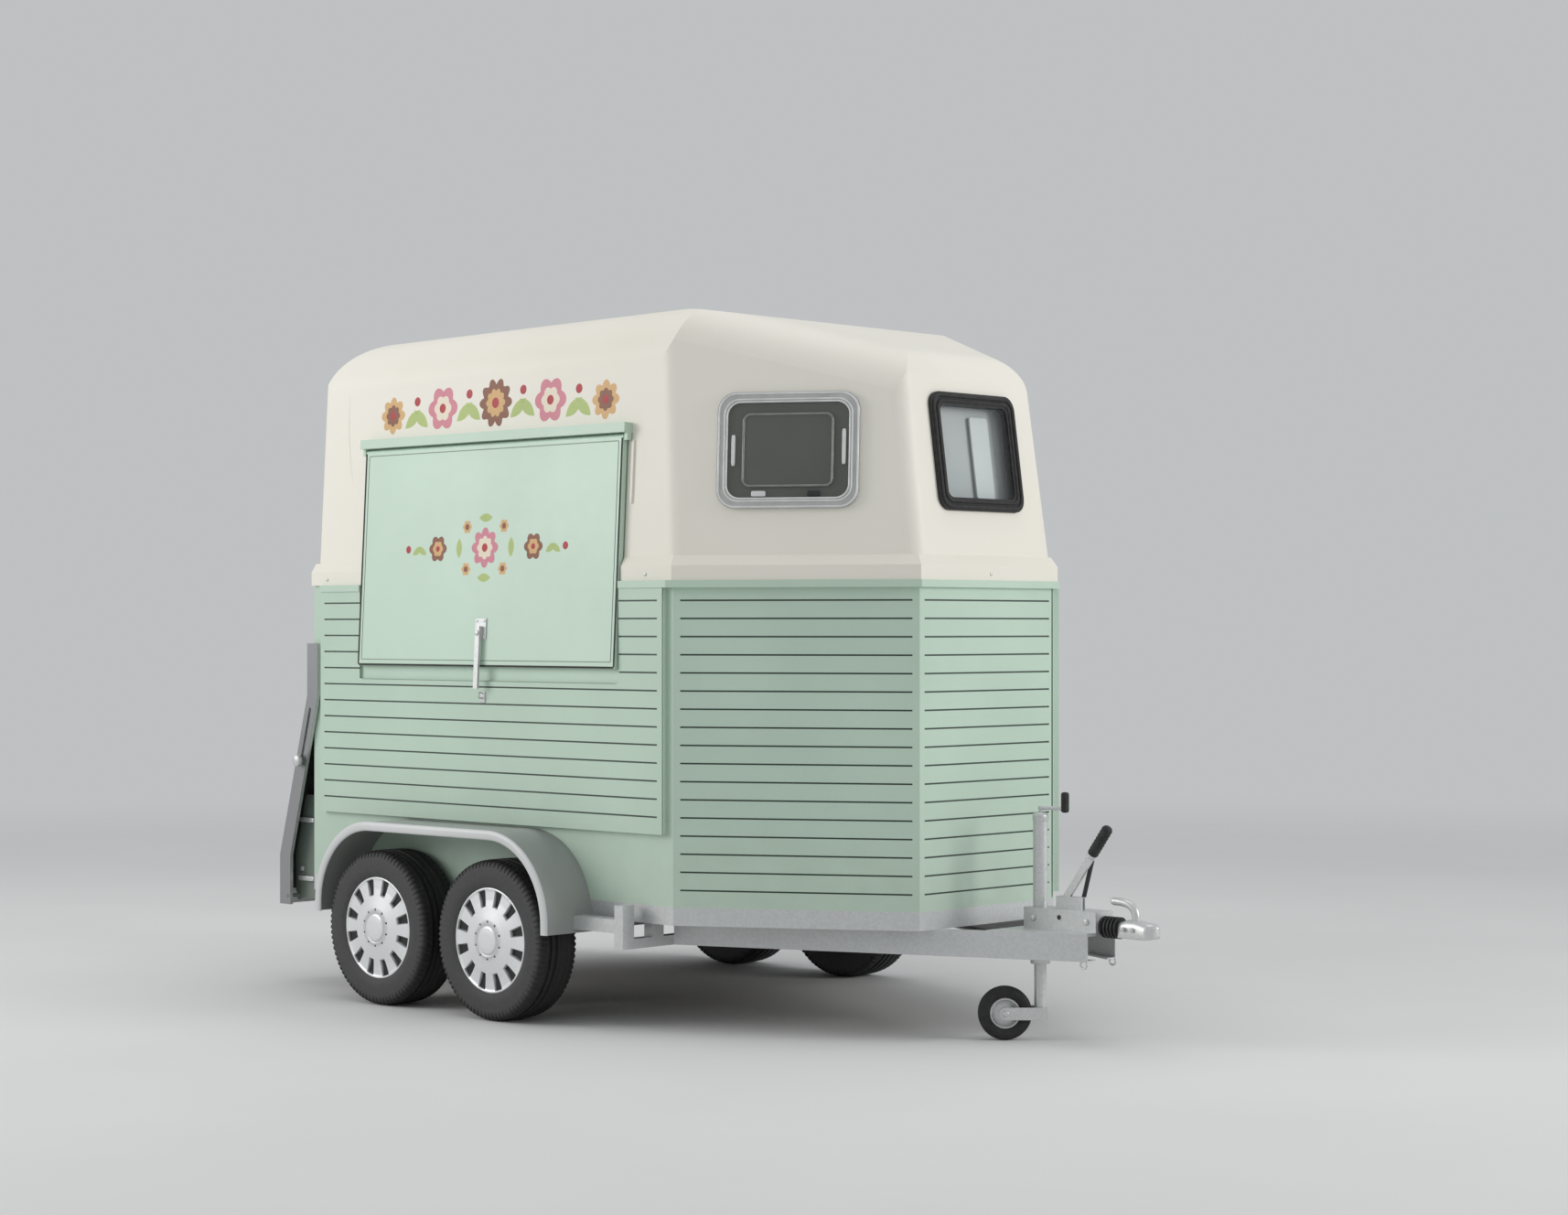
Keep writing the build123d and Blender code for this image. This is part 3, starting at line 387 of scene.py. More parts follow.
def pane(name, low, high, grain):
    """Thin clear sheet: see-through where it is looked at squarely, a mirror at grazing angles."""
    shader = Shader(name)
    tint = shader.ramp(shader.noise(grain, 2.0), (0.3, low), (0.7, high))
    through = shader.add("ShaderNodeBsdfTransparent", Color=tint).outputs[0]
    mirror = shader.add("ShaderNodeBsdfGlossy", Roughness=0.04, Color=(0.92, 0.94, 0.95, 1.0)).outputs[0]
    facing = shader.add("ShaderNodeLayerWeight", Blend=0.5).outputs["Facing"]
    mix = shader.add("ShaderNodeMixShader", Fac=shader.span(shader.math("POWER", facing, 4.0), 0.015, 0.90))
    shader.put(mix.inputs[1], through)
    shader.put(mix.inputs[2], mirror)
    shader.put(shader.output.inputs["Surface"], mix.outputs[0])
    return shader.material


def resin_board(name):
    """Brown board whose grain runs lengthwise, with a fine chequer pressed into it."""
    shader = Shader(name)
    grain = shader.noise(18.0, 5.0, shader.stretched(0.6, 8.0, 8.0))
    wire = shader.add("ShaderNodeTexChecker", Vector=shader.place, Scale=260.0).outputs["Fac"]
    shader.bump(wire, 0.2, 0.0006)
    colour = shader.ramp(grain, (0.3, (0.085, 0.055, 0.036)), (0.7, (0.135, 0.090, 0.058)))
    return shader.finish(colour, shader.span(grain, 0.45, 0.6))


def prism_lens(name):
    """Red lens of small prisms, each a cell with its own colour and height."""
    shader = Shader(name)
    prisms = shader.cells(120.0)
    shader.bump(prisms, 0.4, 0.001)
    colour = shader.ramp(prisms, (0.0, (0.32, 0.010, 0.010)), (1.0, (0.46, 0.022, 0.018)))
    return shader.finish(colour, shader.span(prisms, 0.12, 0.2))


materials["black_rubber"] = rubber("black_rubber", (0.012, 0.012, 0.012), (0.035, 0.034, 0.033), 45.0)
materials["tyre_rubber"] = rubber("tyre_rubber", (0.010, 0.010, 0.010), (0.026, 0.025, 0.024), 60.0)
SMOKED = ((0.092, 0.095, 0.083), (0.115, 0.118, 0.105))
materials["smoked_pane"] = acrylic("smoked_pane", *SMOKED, scale=3.0, detail=2.0, smooth=0.10, rough=0.16)
PALE = ((0.40, 0.41, 0.40), (0.50, 0.51, 0.50))
materials["clear_frame"] = acrylic("clear_frame", *PALE, scale=14.0, detail=3.0, smooth=0.16, rough=0.26)
materials["clear_glass"] = pane("clear_glass", (0.93, 0.95, 0.95), (0.96, 0.97, 0.97), 4.0)
materials["floor_board"] = resin_board("floor_board")
materials["lamp_red"] = prism_lens("lamp_red")
print(len(materials), "materials in all")

# %% [markdown]
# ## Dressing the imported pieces
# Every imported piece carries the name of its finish, so one loop dresses them all. The planked walls and
# the ramp's channels have marks at places of their own and wear a finish that was made for them alone.
# The shapes themselves are exact already and stay as they are.

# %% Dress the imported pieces
for name, piece in nodes.items():
    piece.data.materials.clear()
    piece.data.materials.append(own_finish.get(name, materials[slots[name]]))
print("dressed", len(nodes), "pieces,", len(own_finish), "with a finish of their own")

# %% [markdown]
# ## Surfaces as grids of points
# Everything added from here on is a surface over two parameters. A formula gives one point for each pair
# of values, the points form a grid, and neighbours in the grid become the corners of a face. Writing the
# formula for the whole grid at once is fast and keeps the shape readable. A grid that closes on itself is
# wrapped, an open end gets a flat cap, and the sign of the enclosed volume tells whether the faces look
# outward.

# %% Grid helpers
SHARP = math.radians(38.0)


def grid_faces(rows, columns, wrap_rows, wrap_columns):
    """Corner numbers of the quads of a grid; a wrapped direction joins its last line to its first."""
    r = np.arange(rows if wrap_rows else rows - 1)[:, None]
    c = np.arange(columns if wrap_columns else columns - 1)[None, :]
    r_next, c_next = (r + 1) % rows, (c + 1) % columns
    quads = [r * columns + c, r_next * columns + c, r_next * columns + c_next, r * columns + c_next]
    return np.stack(np.broadcast_arrays(*quads), -1).reshape(-1, 4)


def surface(name, points, material, form="bar", shade=None):
    """A mesh object from points in rows and columns, or from several such grids of one shape.

    A sheet is open, a bar closes round its columns and has flat ends, and a ring closes both ways.
    """
    points = np.asarray(points, float).reshape((-1,) + np.shape(points)[-3:])
    copies, rows, columns = points.shape[:3]
    quads = grid_faces(rows, columns, form == "ring", form != "sheet")
    first_row = np.arange(columns)
    ends = [first_row, first_row[::-1] + (rows - 1) * columns] if form == "bar" else []
    flat = points.reshape(copies, -1, 3)
    corners = (flat - flat.mean(1, keepdims=True))[:, quads]
    volume = sum(
        (corners[:, :, 0] * np.cross(corners[:, :, a], corners[:, :, a + 1])).sum((1, 2)) for a in (1, 2)
    )
    faces = []
    for copy in range(copies):
        order = 1 if volume[copy] > 0 or form == "sheet" else -1
        faces += (quads[:, ::order] + copy * rows * columns).tolist()
        faces += [(end[::order] + copy * rows * columns).tolist() for end in ends]
    mesh = bpy.data.meshes.new(name)
    mesh.from_pydata(points.reshape(-1, 3).tolist(), [], faces)
    mesh.polygons.foreach_set("use_smooth", np.ones(len(mesh.polygons), bool))
    mesh.set_sharp_from_angle(angle=SHARP)
    if shade is not None:
        values = mesh.attributes.new("shade", "FLOAT", "POINT").data
        values.foreach_set("value", np.ravel(shade).astype(np.float32))
    mesh.materials.append(material)
    piece = bpy.data.objects.new(name, mesh)
    bpy.context.scene.collection.objects.link(piece)
    return piece


def add(name, points, body, slot, *stands_for, material=None, form="bar", shade=None):
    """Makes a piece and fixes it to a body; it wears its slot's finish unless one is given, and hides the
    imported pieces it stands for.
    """
    piece = surface(name, points, material or materials[slot], form, shade)
    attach(piece, body)
    if stands_for:
        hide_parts(*stands_for)


print("pieces have sharp edges above", round(math.degrees(SHARP)), "degrees")

# %% [markdown]
# ## Turned shapes, blocks and walls
# Most fittings are one of two shapes. A turned shape is a profile that runs once round an axis, as on a
# lathe. A block is a sphere that has been squared off, which rounds all its edges at once. Both can be
# made at many places together. Walls lean and turn, so a wall gets three directions of its own: along it,
# up it and out of it.

# %% Shape helpers
NEAR_POLE = 1.569
PLAIN = np.eye(3)


def around(count):
    """Angles once round, without the last one, which is the first again."""
    return np.linspace(0.0, 2.0 * math.pi, count, endpoint=False)


def unit(vectors):
    """Vectors of length one."""
    vectors = np.asarray(vectors, float)
    return vectors / np.linalg.norm(vectors, axis=-1, keepdims=True)


def turned(profile, middles, directions, columns=24):
    """Turned shape: each radius of the profile runs once round a direction, each height goes along it."""
    profile, directions = np.asarray(profile, float), unit(np.atleast_2d(directions))
    middles = np.atleast_2d(np.asarray(middles, float))
    upright = np.abs(directions[:, 2:]) > 0.9
    first = unit(np.cross(directions, np.where(upright, (1.0, 0.0, 0.0), (0.0, 0.0, 1.0))))
    second = np.cross(directions, first)
    turn = around(columns)[None, :, None]
    ring = np.cos(turn) * first[:, None] + np.sin(turn) * second[:, None]
    reach, rise = profile[None, :, :1, None], profile[None, :, 1:, None]
    return middles[:, None, None] + reach * ring[:, None] + rise * directions[:, None, None]


def block(middles, axes, halves, bend=0.28, rows=13, columns=32):
    """Rounded block: a superellipsoid, a sphere whose sines and cosines are raised to a small power."""

    def squared(wave):
        return np.sign(wave) * np.abs(wave) ** bend

    up, turn = np.linspace(-NEAR_POLE, NEAR_POLE, rows)[:, None], around(columns)[None, :]
    level, rise = squared(np.cos(up)), squared(np.sin(up)) + 0.0 * turn
    ball = np.stack([level * squared(np.cos(turn)), level * squared(np.sin(turn)), rise], -1)
    middles = np.atleast_2d(np.asarray(middles, float))
    return middles[:, None, None] + (ball * np.asarray(halves)) @ np.asarray(axes, float)


def wall_axes(turn, lean):
    """Along, up and out directions of a wall that faces a compass turn and leans back, both in degrees."""
    turn, lean = math.radians(turn), math.radians(lean)
    out = np.array([math.cos(turn) * math.cos(lean), math.sin(turn) * math.cos(lean), math.sin(lean)])
    along = np.array([-math.sin(turn), math.cos(turn), 0.0])
    return np.array([along, np.cross(out, along), out])


def node_points(node):
    """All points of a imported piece, one in a row."""
    points = np.empty(len(nodes[node].data.vertices) * 3, np.float32)
    nodes[node].data.vertices.foreach_get("co", points)
    return points.reshape(-1, 3).astype(float)


def extent(node, axes, side=0):
    """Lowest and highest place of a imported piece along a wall's directions, of one side if asked."""
    points = node_points(node)
    points = points[np.sign(points[:, 1]) == side] if side else points
    return (points @ axes.T).min(0), (points @ axes.T).max(0)


print("nose wall faces", wall_axes(90.0 - math.degrees(nose_turn), 0.0)[2].round(3))

# %% [markdown]
# ## Tyres
# A tyre's section is a soft box: a wide flat tread, round shoulders and a bulging side wall. Here a few
# corner points are cut again and again at their corners until they form a smooth loop, and the loop is
# turned about the axle. The tread is pressed in towards the core of the section: grooves where the
# distance from the middle plane matches, and notches at the shoulders where a wave round the tyre is
# high. The side wall is smoother than the tread and is painted a lighter grey, so a mask of it is kept
# on the points for the material.

# %% Section helpers
TREAD_DETAIL = 2.4


def mirrored(half):
    """Closed outline from one half of it: the same points again on the other side, in reverse order."""
    return half[:-1] + [(-across, radius) for across, radius in reversed(half)][:-1]


def smooth_loop(corners, rounds=3):
    """Closed loop whose corners are cut off a few times, each time at a quarter of every side."""
    loop = np.asarray(corners, float)
    for _ in range(rounds):
        ahead = np.roll(loop, -1, axis=0)
        loop = np.stack([0.75 * loop + 0.25 * ahead, 0.25 * loop + 0.75 * ahead], 1).reshape(-1, 2)
    return loop


def respaced(loop, count, tread_from=math.inf):
    """Points at even steps along a closed loop, set closer where the second number is on the tread."""
    closed = np.vstack([loop, loop[:1]])
    on_tread = (closed[1:, 1] + closed[:-1, 1]) / 2 > tread_from
    sides = np.linalg.norm(np.diff(closed, axis=0), axis=1) * np.where(on_tread, TREAD_DETAIL, 1.0)
    length = np.concatenate([[0.0], np.cumsum(sides)])
    places = np.linspace(0.0, length[-1], count, endpoint=False)
    return np.stack([np.interp(places, length, closed[:, k]) for k in (0, 1)], -1)


def step(value, edge, width):
    """Smooth change from zero below an edge to one above it: half a hyperbolic tangent."""
    return 0.5 + 0.5 * np.tanh((value - edge) / width)


def bell(value, middle, width):
    """Smooth hump of height one at a middle: the exponential of minus the squared distance."""
    return np.exp(-(((value - middle) / width) ** 2))


print("tread points", TREAD_DETAIL, "times closer")

# %% Road tyres
# Half of a tyre's section from the tread to the bore: place across the tyre and radius.
TYRE_HALF = [(0.0, 0.300), (0.074, 0.2995), (0.0905, 0.288), (0.0925, 0.262), (0.0925, 0.220),
             (0.083, 0.194), (0.068, 0.180), (0.0, 0.1785)]
CORE_RADIUS, SHOULDER_RADIUS, TREAD_RADIUS = 0.238, 0.262, 0.284
GROOVE_PLACES, GROOVE_HALF, GROOVE_DEEP = (0.016, 0.045), 0.0042, 0.007
NOTCHES, NOTCH_FROM, NOTCH_RADIUS, NOTCH_DEEP = 84, 0.060, 0.272, 0.0045
WALL_RINGS, RING_HALF, RING_DEEP = (0.202, 0.252), 0.0016, 0.0012
WALL_FROM = 0.078


def road_tyre(turns=432, count=112):
    """Points of a tyre about its axle, and the mask of its side walls.

    The section is turned about the axle. Each of its points then moves towards the section's core by the
    depth of the groove, notch or ring that it lies in.
    """
    section = respaced(smooth_loop(mirrored(TYRE_HALF)), count, SHOULDER_RADIUS)
    across, radius = section[None, :, 0], section[None, :, 1]
    out, turn = np.abs(across), around(turns)[:, None]
    grooves = sum(step(GROOVE_HALF - np.abs(out - place), 0.0, 0.0008) for place in GROOVE_PLACES)
    grooves = grooves * step(radius, TREAD_RADIUS, 0.003)
    notches = step(np.sin(NOTCHES * turn), 0.35, 0.12) * step(out, NOTCH_FROM, 0.002)
    notches = notches * step(radius, NOTCH_RADIUS, 0.003)
    rings = sum(bell(radius, place, RING_HALF) for place in WALL_RINGS) * (out > NOTCH_FROM)
    press = GROOVE_DEEP * grooves + NOTCH_DEEP * notches * (1.0 - grooves) + RING_DEEP * rings
    kept = 1.0 - press / np.hypot(across, radius - CORE_RADIUS)
    reach = CORE_RADIUS + (radius - CORE_RADIUS) * kept
    shape = np.stack([reach * np.cos(turn), across * kept + 0.0 * turn, reach * np.sin(turn)], -1)
    side_wall = step(out, WALL_FROM, 0.004) * step(TREAD_RADIUS - radius, 0.0, 0.006) + 0.0 * turn
    return shape, side_wall


def road_rubber():
    """Rubber with a black tread and lighter grey side walls, told apart by the mask on the points."""
    shader = Shader("road_rubber")
    dust = shader.noise(60.0, 5.0)
    tread_black = shader.ramp(dust, (0.35, (0.010, 0.010, 0.010)), (0.75, (0.022, 0.021, 0.020)))
    side_black = shader.ramp(dust, (0.35, (0.040, 0.040, 0.040)), (0.75, (0.056, 0.055, 0.054)))
    shader.bump(dust, 0.10, 0.0006)
    colour = shader.blend(shader.shade(), tread_black, side_black)
    return shader.finish(colour, shader.span(dust, 0.58, 0.76))


wheels = [end + "_" + side for end in ("front", "rear") for side in ("left", "right")]
tyre_shape, side_wall = road_tyre()
tyre_material = road_rubber()
for wheel in wheels:
    low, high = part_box("tyre_" + wheel)
    add("road_tyre_" + wheel, tyre_shape + np.array((low + high) / 2), "wheel_" + wheel, "tyre_rubber",
        "tyre_" + wheel, material=tyre_material, form="ring", shade=side_wall)
print("tyres", tyre_shape.shape)

# %% [markdown]
# ## Wheel covers
# The covers are pressed sheet, painted silver: a flat cap in the middle, a shallow cone, twelve slots
# that widen outward and a rolled rim. The height is a function of the distance from the middle, lowered
# inside each slot. The slots and holes are dents, not openings, so the shade that would fill them is
# painted: the mask that lowers them is kept on the points, and the material turns black there. A ring
# round the cap gets a lighter painted shade, as in a recess.

# %% Covers
# Profile of a cover from its middle to its rim: radius and height over the wheel.
COVER_LINE = [(0.002, 0.0290), (0.030, 0.0285), (0.048, 0.0265), (0.053, 0.0240), (0.056, 0.0215),
              (0.060, 0.0232), (0.075, 0.0220), (0.110, 0.0165), (0.150, 0.0105), (0.180, 0.0085),
              (0.186, 0.0095), (0.191, 0.0115), (0.195, 0.0105), (0.198, 0.0060), (0.198, 0.0020),
              (0.194, 0.0)]
COVER_SLOTS, SLOT_MIDDLE, SLOT_REACH, SLOT_DEEP = 12, 0.157, 0.030, 0.012
SLOT_HALF, SLOT_FLARE = 0.0115, 0.125
COVER_HOLES, HOLE_CIRCLE, HOLE_HALF, HOLE_DEEP = 10, 0.070, 0.0042, 0.004
# Painted shade in the ring round the cap: its strength, radius and half width.
CAP_SHADE, CAP_RING, CAP_RING_HALF = 0.30, 0.064, 0.010
SHEET = 0.001


def evenly(line, count):
    """Points at even steps along an open line in a plane."""
    line = np.asarray(line, float)
    length = np.concatenate([[0.0], np.cumsum(np.linalg.norm(np.diff(line, axis=0), axis=1))])
    places = np.linspace(0.0, length[-1], count)
    return np.stack([np.interp(places, length, line[:, k]) for k in (0, 1)], -1)


def sector(turn, count, radius):
    """Distance along the circle from the middle of the nearest of some even sectors."""
    return radius * ((turn * count / (2.0 * math.pi)) % 1.0 - 0.5) * 2.0 * math.pi / count


def pressed_cover(turns=336, rows=92):
    """Points of a cover about its middle, with height along the second axis, and the painted shade of each.

    A slot is where the distance from a sector's middle is under the slot's half width, which grows with the
    radius, and a hole is a circle round a sector's middle. Both lower the profile and get black painted
    shade, and a ring round the cap gets a lighter painted shade.
    """
    line = evenly(COVER_LINE, rows)
    radius, height = line[:, :1], line[:, 1:]
    turn = around(turns)[None, :]
    slot_half = SLOT_HALF + SLOT_FLARE * (radius - SLOT_MIDDLE + SLOT_REACH)
    past_side = np.abs(sector(turn, COVER_SLOTS, radius)) - slot_half
    in_slot = step(-np.maximum(past_side, np.abs(radius - SLOT_MIDDLE) - SLOT_REACH), 0.0, 0.0009)
    from_hole = np.hypot(sector(turn, COVER_HOLES, radius), radius - HOLE_CIRCLE)
    in_hole = step(HOLE_HALF - from_hole, 0.0, 0.0007)
    # Painted shade: full in the slots and holes, partial in the ring round the cap.
    dark = np.maximum(np.maximum(in_slot, in_hole), CAP_SHADE * bell(radius, CAP_RING, CAP_RING_HALF))
    height = height - np.minimum(SLOT_DEEP * in_slot + HOLE_DEEP * in_hole, np.maximum(height - SHEET, 0.0))
    return np.stack([radius * np.cos(turn), height, radius * np.sin(turn)], -1), dark


def cover_paint():
    """Silver paint with fine flakes that turns matt black where painted shade lies on the points."""
    shader = Shader("pressed_cover")
    dark = shader.shade()
    flakes = shader.noise(240.0, 3.0)
    silver = shader.ramp(flakes, (0.3, (0.72, 0.725, 0.735)), (0.7, (0.79, 0.795, 0.805)))
    shader.bump(flakes, 0.03, 0.0004)
    # Painted shade: black in the slots and holes, grey in the ring round the cap.
    colour = shader.blend(dark, silver, (0.012, 0.012, 0.013, 1.0))
    return shader.finish(colour, shader.span(dark, 0.34, 0.7), shader.span(dark, 0.4, 0.0))


cover_shape, cover_shade = pressed_cover()
cover_material = cover_paint()
for wheel in wheels:
    low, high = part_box("wheel_cover_" + wheel)
    out, inner = (1.0, low.y) if wheel.endswith("left") else (-1.0, high.y)
    middle = np.array([(low.x + high.x) / 2, inner, (low.z + high.z) / 2])
    add("pressed_cover_" + wheel, cover_shape * (1.0, out, 1.0) + middle, "wheel_" + wheel, "cover_silver",
        "wheel_cover_" + wheel, material=cover_material, shade=cover_shade)
print("covers", cover_shape.shape)

# %% [markdown]
# ## Windows
# The nose windows are acrylic: a pale flange, a pressed double ring, a smoked pane with a raised middle
# and catches on its inside. Rings are tubes along a rounded rectangle: the angle round the loop picks the
# corner, and the corner's centre plus a radius gives the point.

# %% Nose windows
NOSE_LEAN, NOSE_CORNER, NOSE_TUBE = 5.5, 0.068, 0.0035
NOSE_INSETS = (0.006, 0.027, 0.036)
PANE_RIDGE = dict(half_along=0.163, half_up=0.129, corner_radius=0.026, tube=0.0045)
CATCH_DEPTH = 0.004


def ring_tube(axes, middle, half_along, half_up, corner_radius, tube):
    """Closed tube along a rounded rectangle on a wall; its middle is given in the wall's directions."""
    turn, around_tube = around(96)[:, None], around(12)[None, :]
    out_a, out_b = np.cos(turn), np.sin(turn)
    core_a = np.sign(np.round(out_a, 9)) * (half_along - corner_radius)
    core_b = np.sign(np.round(out_b, 9)) * (half_up - corner_radius)
    reach = corner_radius + tube * np.cos(around_tube)
    lift = tube * np.sin(around_tube) + 0.0 * turn
    ring = np.stack([core_a + out_a * reach, core_b + out_b * reach, lift], -1)
    return (ring + np.asarray(middle)) @ axes


def inset_ring(axes, low, high, inset, corner_radius, tube, sunk=0.0):
    """Ring inside a window's outline: the outline drawn in on all sides, with a tighter corner."""
    middle, half = (low + high) / 2, (high - low) / 2
    return ring_tube(axes, (middle[0], middle[1], high[2] - sunk), half[0] - inset, half[1] - inset,
                     corner_radius - inset / 2, tube)


rings, ridges, light_catches, dark_catches = [], [], [], []
for side in (-1, 1):
    axes = wall_axes(side * (90.0 - math.degrees(nose_turn)), NOSE_LEAN)
    low, high = extent("nose_window_frames", axes, side)
    middle = (low + high) / 2
    pane_front = extent("nose_window_panes", axes, side)[1][2]
    rings += [inset_ring(axes, low, high, inset, NOSE_CORNER, NOSE_TUBE) for inset in NOSE_INSETS]
    ridges.append(ring_tube(axes, (middle[0], middle[1], pane_front), **PANE_RIDGE))
    # Place along and up the pane from its middle, half sizes, and the list that the catch belongs to.
    for along, up, halves, catches in (
        (-0.200, 0.0, (0.007, 0.056, 0.006), light_catches),
        (0.203, 0.01, (0.007, 0.064, 0.006), light_catches),
        (side * 0.105, -0.157, (0.026, 0.010, 0.008), light_catches),
        (-side * 0.095, -0.157, (0.024, 0.009, 0.008), dark_catches),
    ):
        place = np.array([middle[0] + along, middle[1] + up, pane_front - CATCH_DEPTH]) @ axes
        catches.append(block(place, axes, halves)[0])
BRIGHT = ((0.62, 0.63, 0.62), (0.72, 0.73, 0.72))
DUSKY = ((0.16, 0.165, 0.15), (0.22, 0.225, 0.21))
clear_edge = acrylic("clear_edge", *BRIGHT, scale=20.0, detail=2.0, smooth=0.10, rough=0.18, coat=0.4)
pane_edge = acrylic("pane_edge", *DUSKY, scale=20.0, detail=2.0, smooth=0.08, rough=0.14, coat=0.6)
add("nose_window_rings", rings, "trailer", "clear_frame", material=clear_edge, form="ring")
add("nose_pane_ridges", ridges, "trailer", "smoked_pane", material=pane_edge, form="ring")
add("window_catches", light_catches, "trailer", "clear_frame", material=clear_edge)
add("window_locks", dark_catches, "trailer", "black_steel")
print("nose windows", len(rings), "rings,", len(light_catches) + len(dark_catches), "catches")

# %% [markdown]
# ## The front window
# The front window sits in black rubber with a thin bright bead, and behind its glass hang a grey blind
# and a white board. Two soft rings make the rubber's lips. The blind and the board are thin blocks a few
# centimetres behind the glass, deep enough to move against the frame when the eye moves.

# %% Front window
FRONT_LEAN, FRONT_CORNER = 8.0, 0.050
SEAL_LIPS = ((0.012, 0.009), (0.032, 0.007))
BEAD = dict(inset=0.043, corner_radius=0.0515, tube=0.0028, sunk=0.003)
LIP_SUNK = 0.001
front_axes = wall_axes(0.0, FRONT_LEAN)
seal = extent("front_window_seal", front_axes)
glass_back = extent("front_window_glass", front_axes)[0][2]
lips = [inset_ring(front_axes, *seal, inset, FRONT_CORNER, tube, LIP_SUNK) for inset, tube in SEAL_LIPS]
add("front_seal_rings", lips, "trailer", "black_rubber", form="ring")
bead = inset_ring(front_axes, *seal, **BEAD)
add("front_window_bead", bead, "trailer", "clear_frame", material=clear_edge, form="ring")


def behind_glass(along, up, depth, halves, bend):
    """Thin block behind the front glass, placed from the middle of the window."""
    middle = (seal[0] + seal[1]) / 2
    place = np.array([middle[0] + along, middle[1] + up, glass_back - depth])
    return block(place @ front_axes, front_axes, halves, bend)


grey_blind = paint("grey_blind", (0.60, 0.60, 0.60), roughness=0.6)
white_board = paint("white_board", (0.80, 0.80, 0.79), roughness=0.4)
blind = behind_glass(along=0.0, up=0.0, depth=0.055, halves=(0.230, 0.205, 0.003), bend=0.08)
board = behind_glass(along=0.078, up=-0.010, depth=0.040, halves=(0.050, 0.150, 0.004), bend=0.10)
add("window_blind", blind, "trailer", "cream_shell", material=grey_blind)
add("window_board", board, "trailer", "cream_shell", material=white_board)
print("front window", (seal[1] - seal[0]).round(3)[:2], "m")

# %% [markdown]
# ## Screws and bolts
# Screw heads and bolts are turned profiles, all of one size in one mesh. A list of places and of the
# directions in which they stick out is enough, because the turning is done for the whole list at once.
# Every place is measured from the piece that the screw holds, so that it lies on that piece's face.

# %% Screws on the hood and the hatch
HATCH_LEAN = 3.0
RIM_SCREW_RISE, SCREW_FROM_REAR, SCREW_FROM_SHOULDER = 0.023, 0.1055, 0.1305
LATCH_SIDE, LATCH_ROWS, LATCH_PROUD = 0.021, (0.114, 0.174), 0.005
LATCH_PIVOT = (0.0, 0.128, 0.022)
hood_low, hood_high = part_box("upper_shell")
hatch_axes = wall_axes(-90.0, HATCH_LEAN)
hatch_low, hatch_high = extent("hatch_panel", hatch_axes)
hatch_middle = (hatch_low[0] + hatch_high[0]) / 2


def on_hatch(along, up, out):
    """Point on the hatch from its bottom middle, in the hatch's own directions."""
    return np.array([hatch_middle + along, hatch_low[1] + up, hatch_high[2] + out]) @ hatch_axes


def both_sides(places, y):
    """Places in length and height on both sides of the trailer, and the directions outward."""
    points = [(x, side * y, z) for side in (-1, 1) for x, z in places]
    return points, [(0, side, 0) for side in (-1, 1) for _ in places]


def buttons(name, places, directions, radius, height, body="trailer", slot="zinc_casting"):
    """Low round heads: a short cylinder that rounds over at its top."""
    profile = [(radius, -0.001), (radius, 0.45 * height), (0.92 * radius, 0.75 * height),
               (0.72 * radius, 0.93 * height), (0.35 * radius, height), (0.05 * radius, height)]
    directions = np.broadcast_to(np.asarray(directions, float), np.shape(places))
    add(name, turned(profile, places, directions), body, slot)


rim_z = hood_low.z + RIM_SCREW_RISE
rim_x = (hood_low.x + SCREW_FROM_REAR, shoulder.x - SCREW_FROM_SHOULDER)
rim_places, rim_ways = both_sides([(x, rim_z) for x in rim_x], hood_high.y)
rim_places += [(hood_high.x, 0.0, rim_z)]
rim_ways += [(1, 0, 0)]
buttons("rim_screws", rim_places, rim_ways, radius=0.0065, height=0.0035)
latch_places = [on_hatch(side * LATCH_SIDE, up, LATCH_PROUD) for side in (-1, 1) for up in LATCH_ROWS]
buttons("latch_screws", latch_places, hatch_axes[2], radius=0.0048, height=0.003, body="serving_hatch")
pivot_place = [on_hatch(*LATCH_PIVOT)]
buttons("latch_pivot", pivot_place, hatch_axes[2], radius=0.010, height=0.005, body="serving_hatch")
print(len(rim_places), "screws in the rim,", len(latch_places), "in the latch")

# %% Bolts on the drawbar, the jack and the ramp's plates
HOUSING_HALF, COUPLING_HALF, TUBE_HALF = 0.050, 0.030, 0.034
BOLT_FROM_REAR, BOLT_FROM_FRONT, BOLT_RISE = 0.0735, 0.0415, 0.042
HOLE_FROM_REAR, HOLE_RISE = 0.1885, 0.051
COUPLING_BOLTS = (0.0275, 0.0675)
# Places of the plates' bolts, back and down from a plate's upper front corner.
PLATE_BOLTS, PLATE_FACE = ((0.0355, 0.040), (0.0355, 0.175), (0.1305, 0.305)), 0.060
housing_low, housing_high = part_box("overrun_housing")
head_low, head_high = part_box("coupling_head")
plate_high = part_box("ramp_side_plates")[1]
tube_low, tube_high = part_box("jockey_tube")
bolt_x = (housing_low.x + BOLT_FROM_REAR, housing_high.x - BOLT_FROM_FRONT)
housing_bolts = both_sides([(x, housing_low.z + BOLT_RISE) for x in bolt_x], HOUSING_HALF)
buttons("housing_bolts", *housing_bolts, radius=0.011, height=0.007)
housing_holes = both_sides([(housing_low.x + HOLE_FROM_REAR, housing_low.z + HOLE_RISE)], HOUSING_HALF)
buttons("housing_holes", *housing_holes, radius=0.009, height=0.0008, slot="black_steel")
head_middle = (head_low.z + head_high.z) / 2
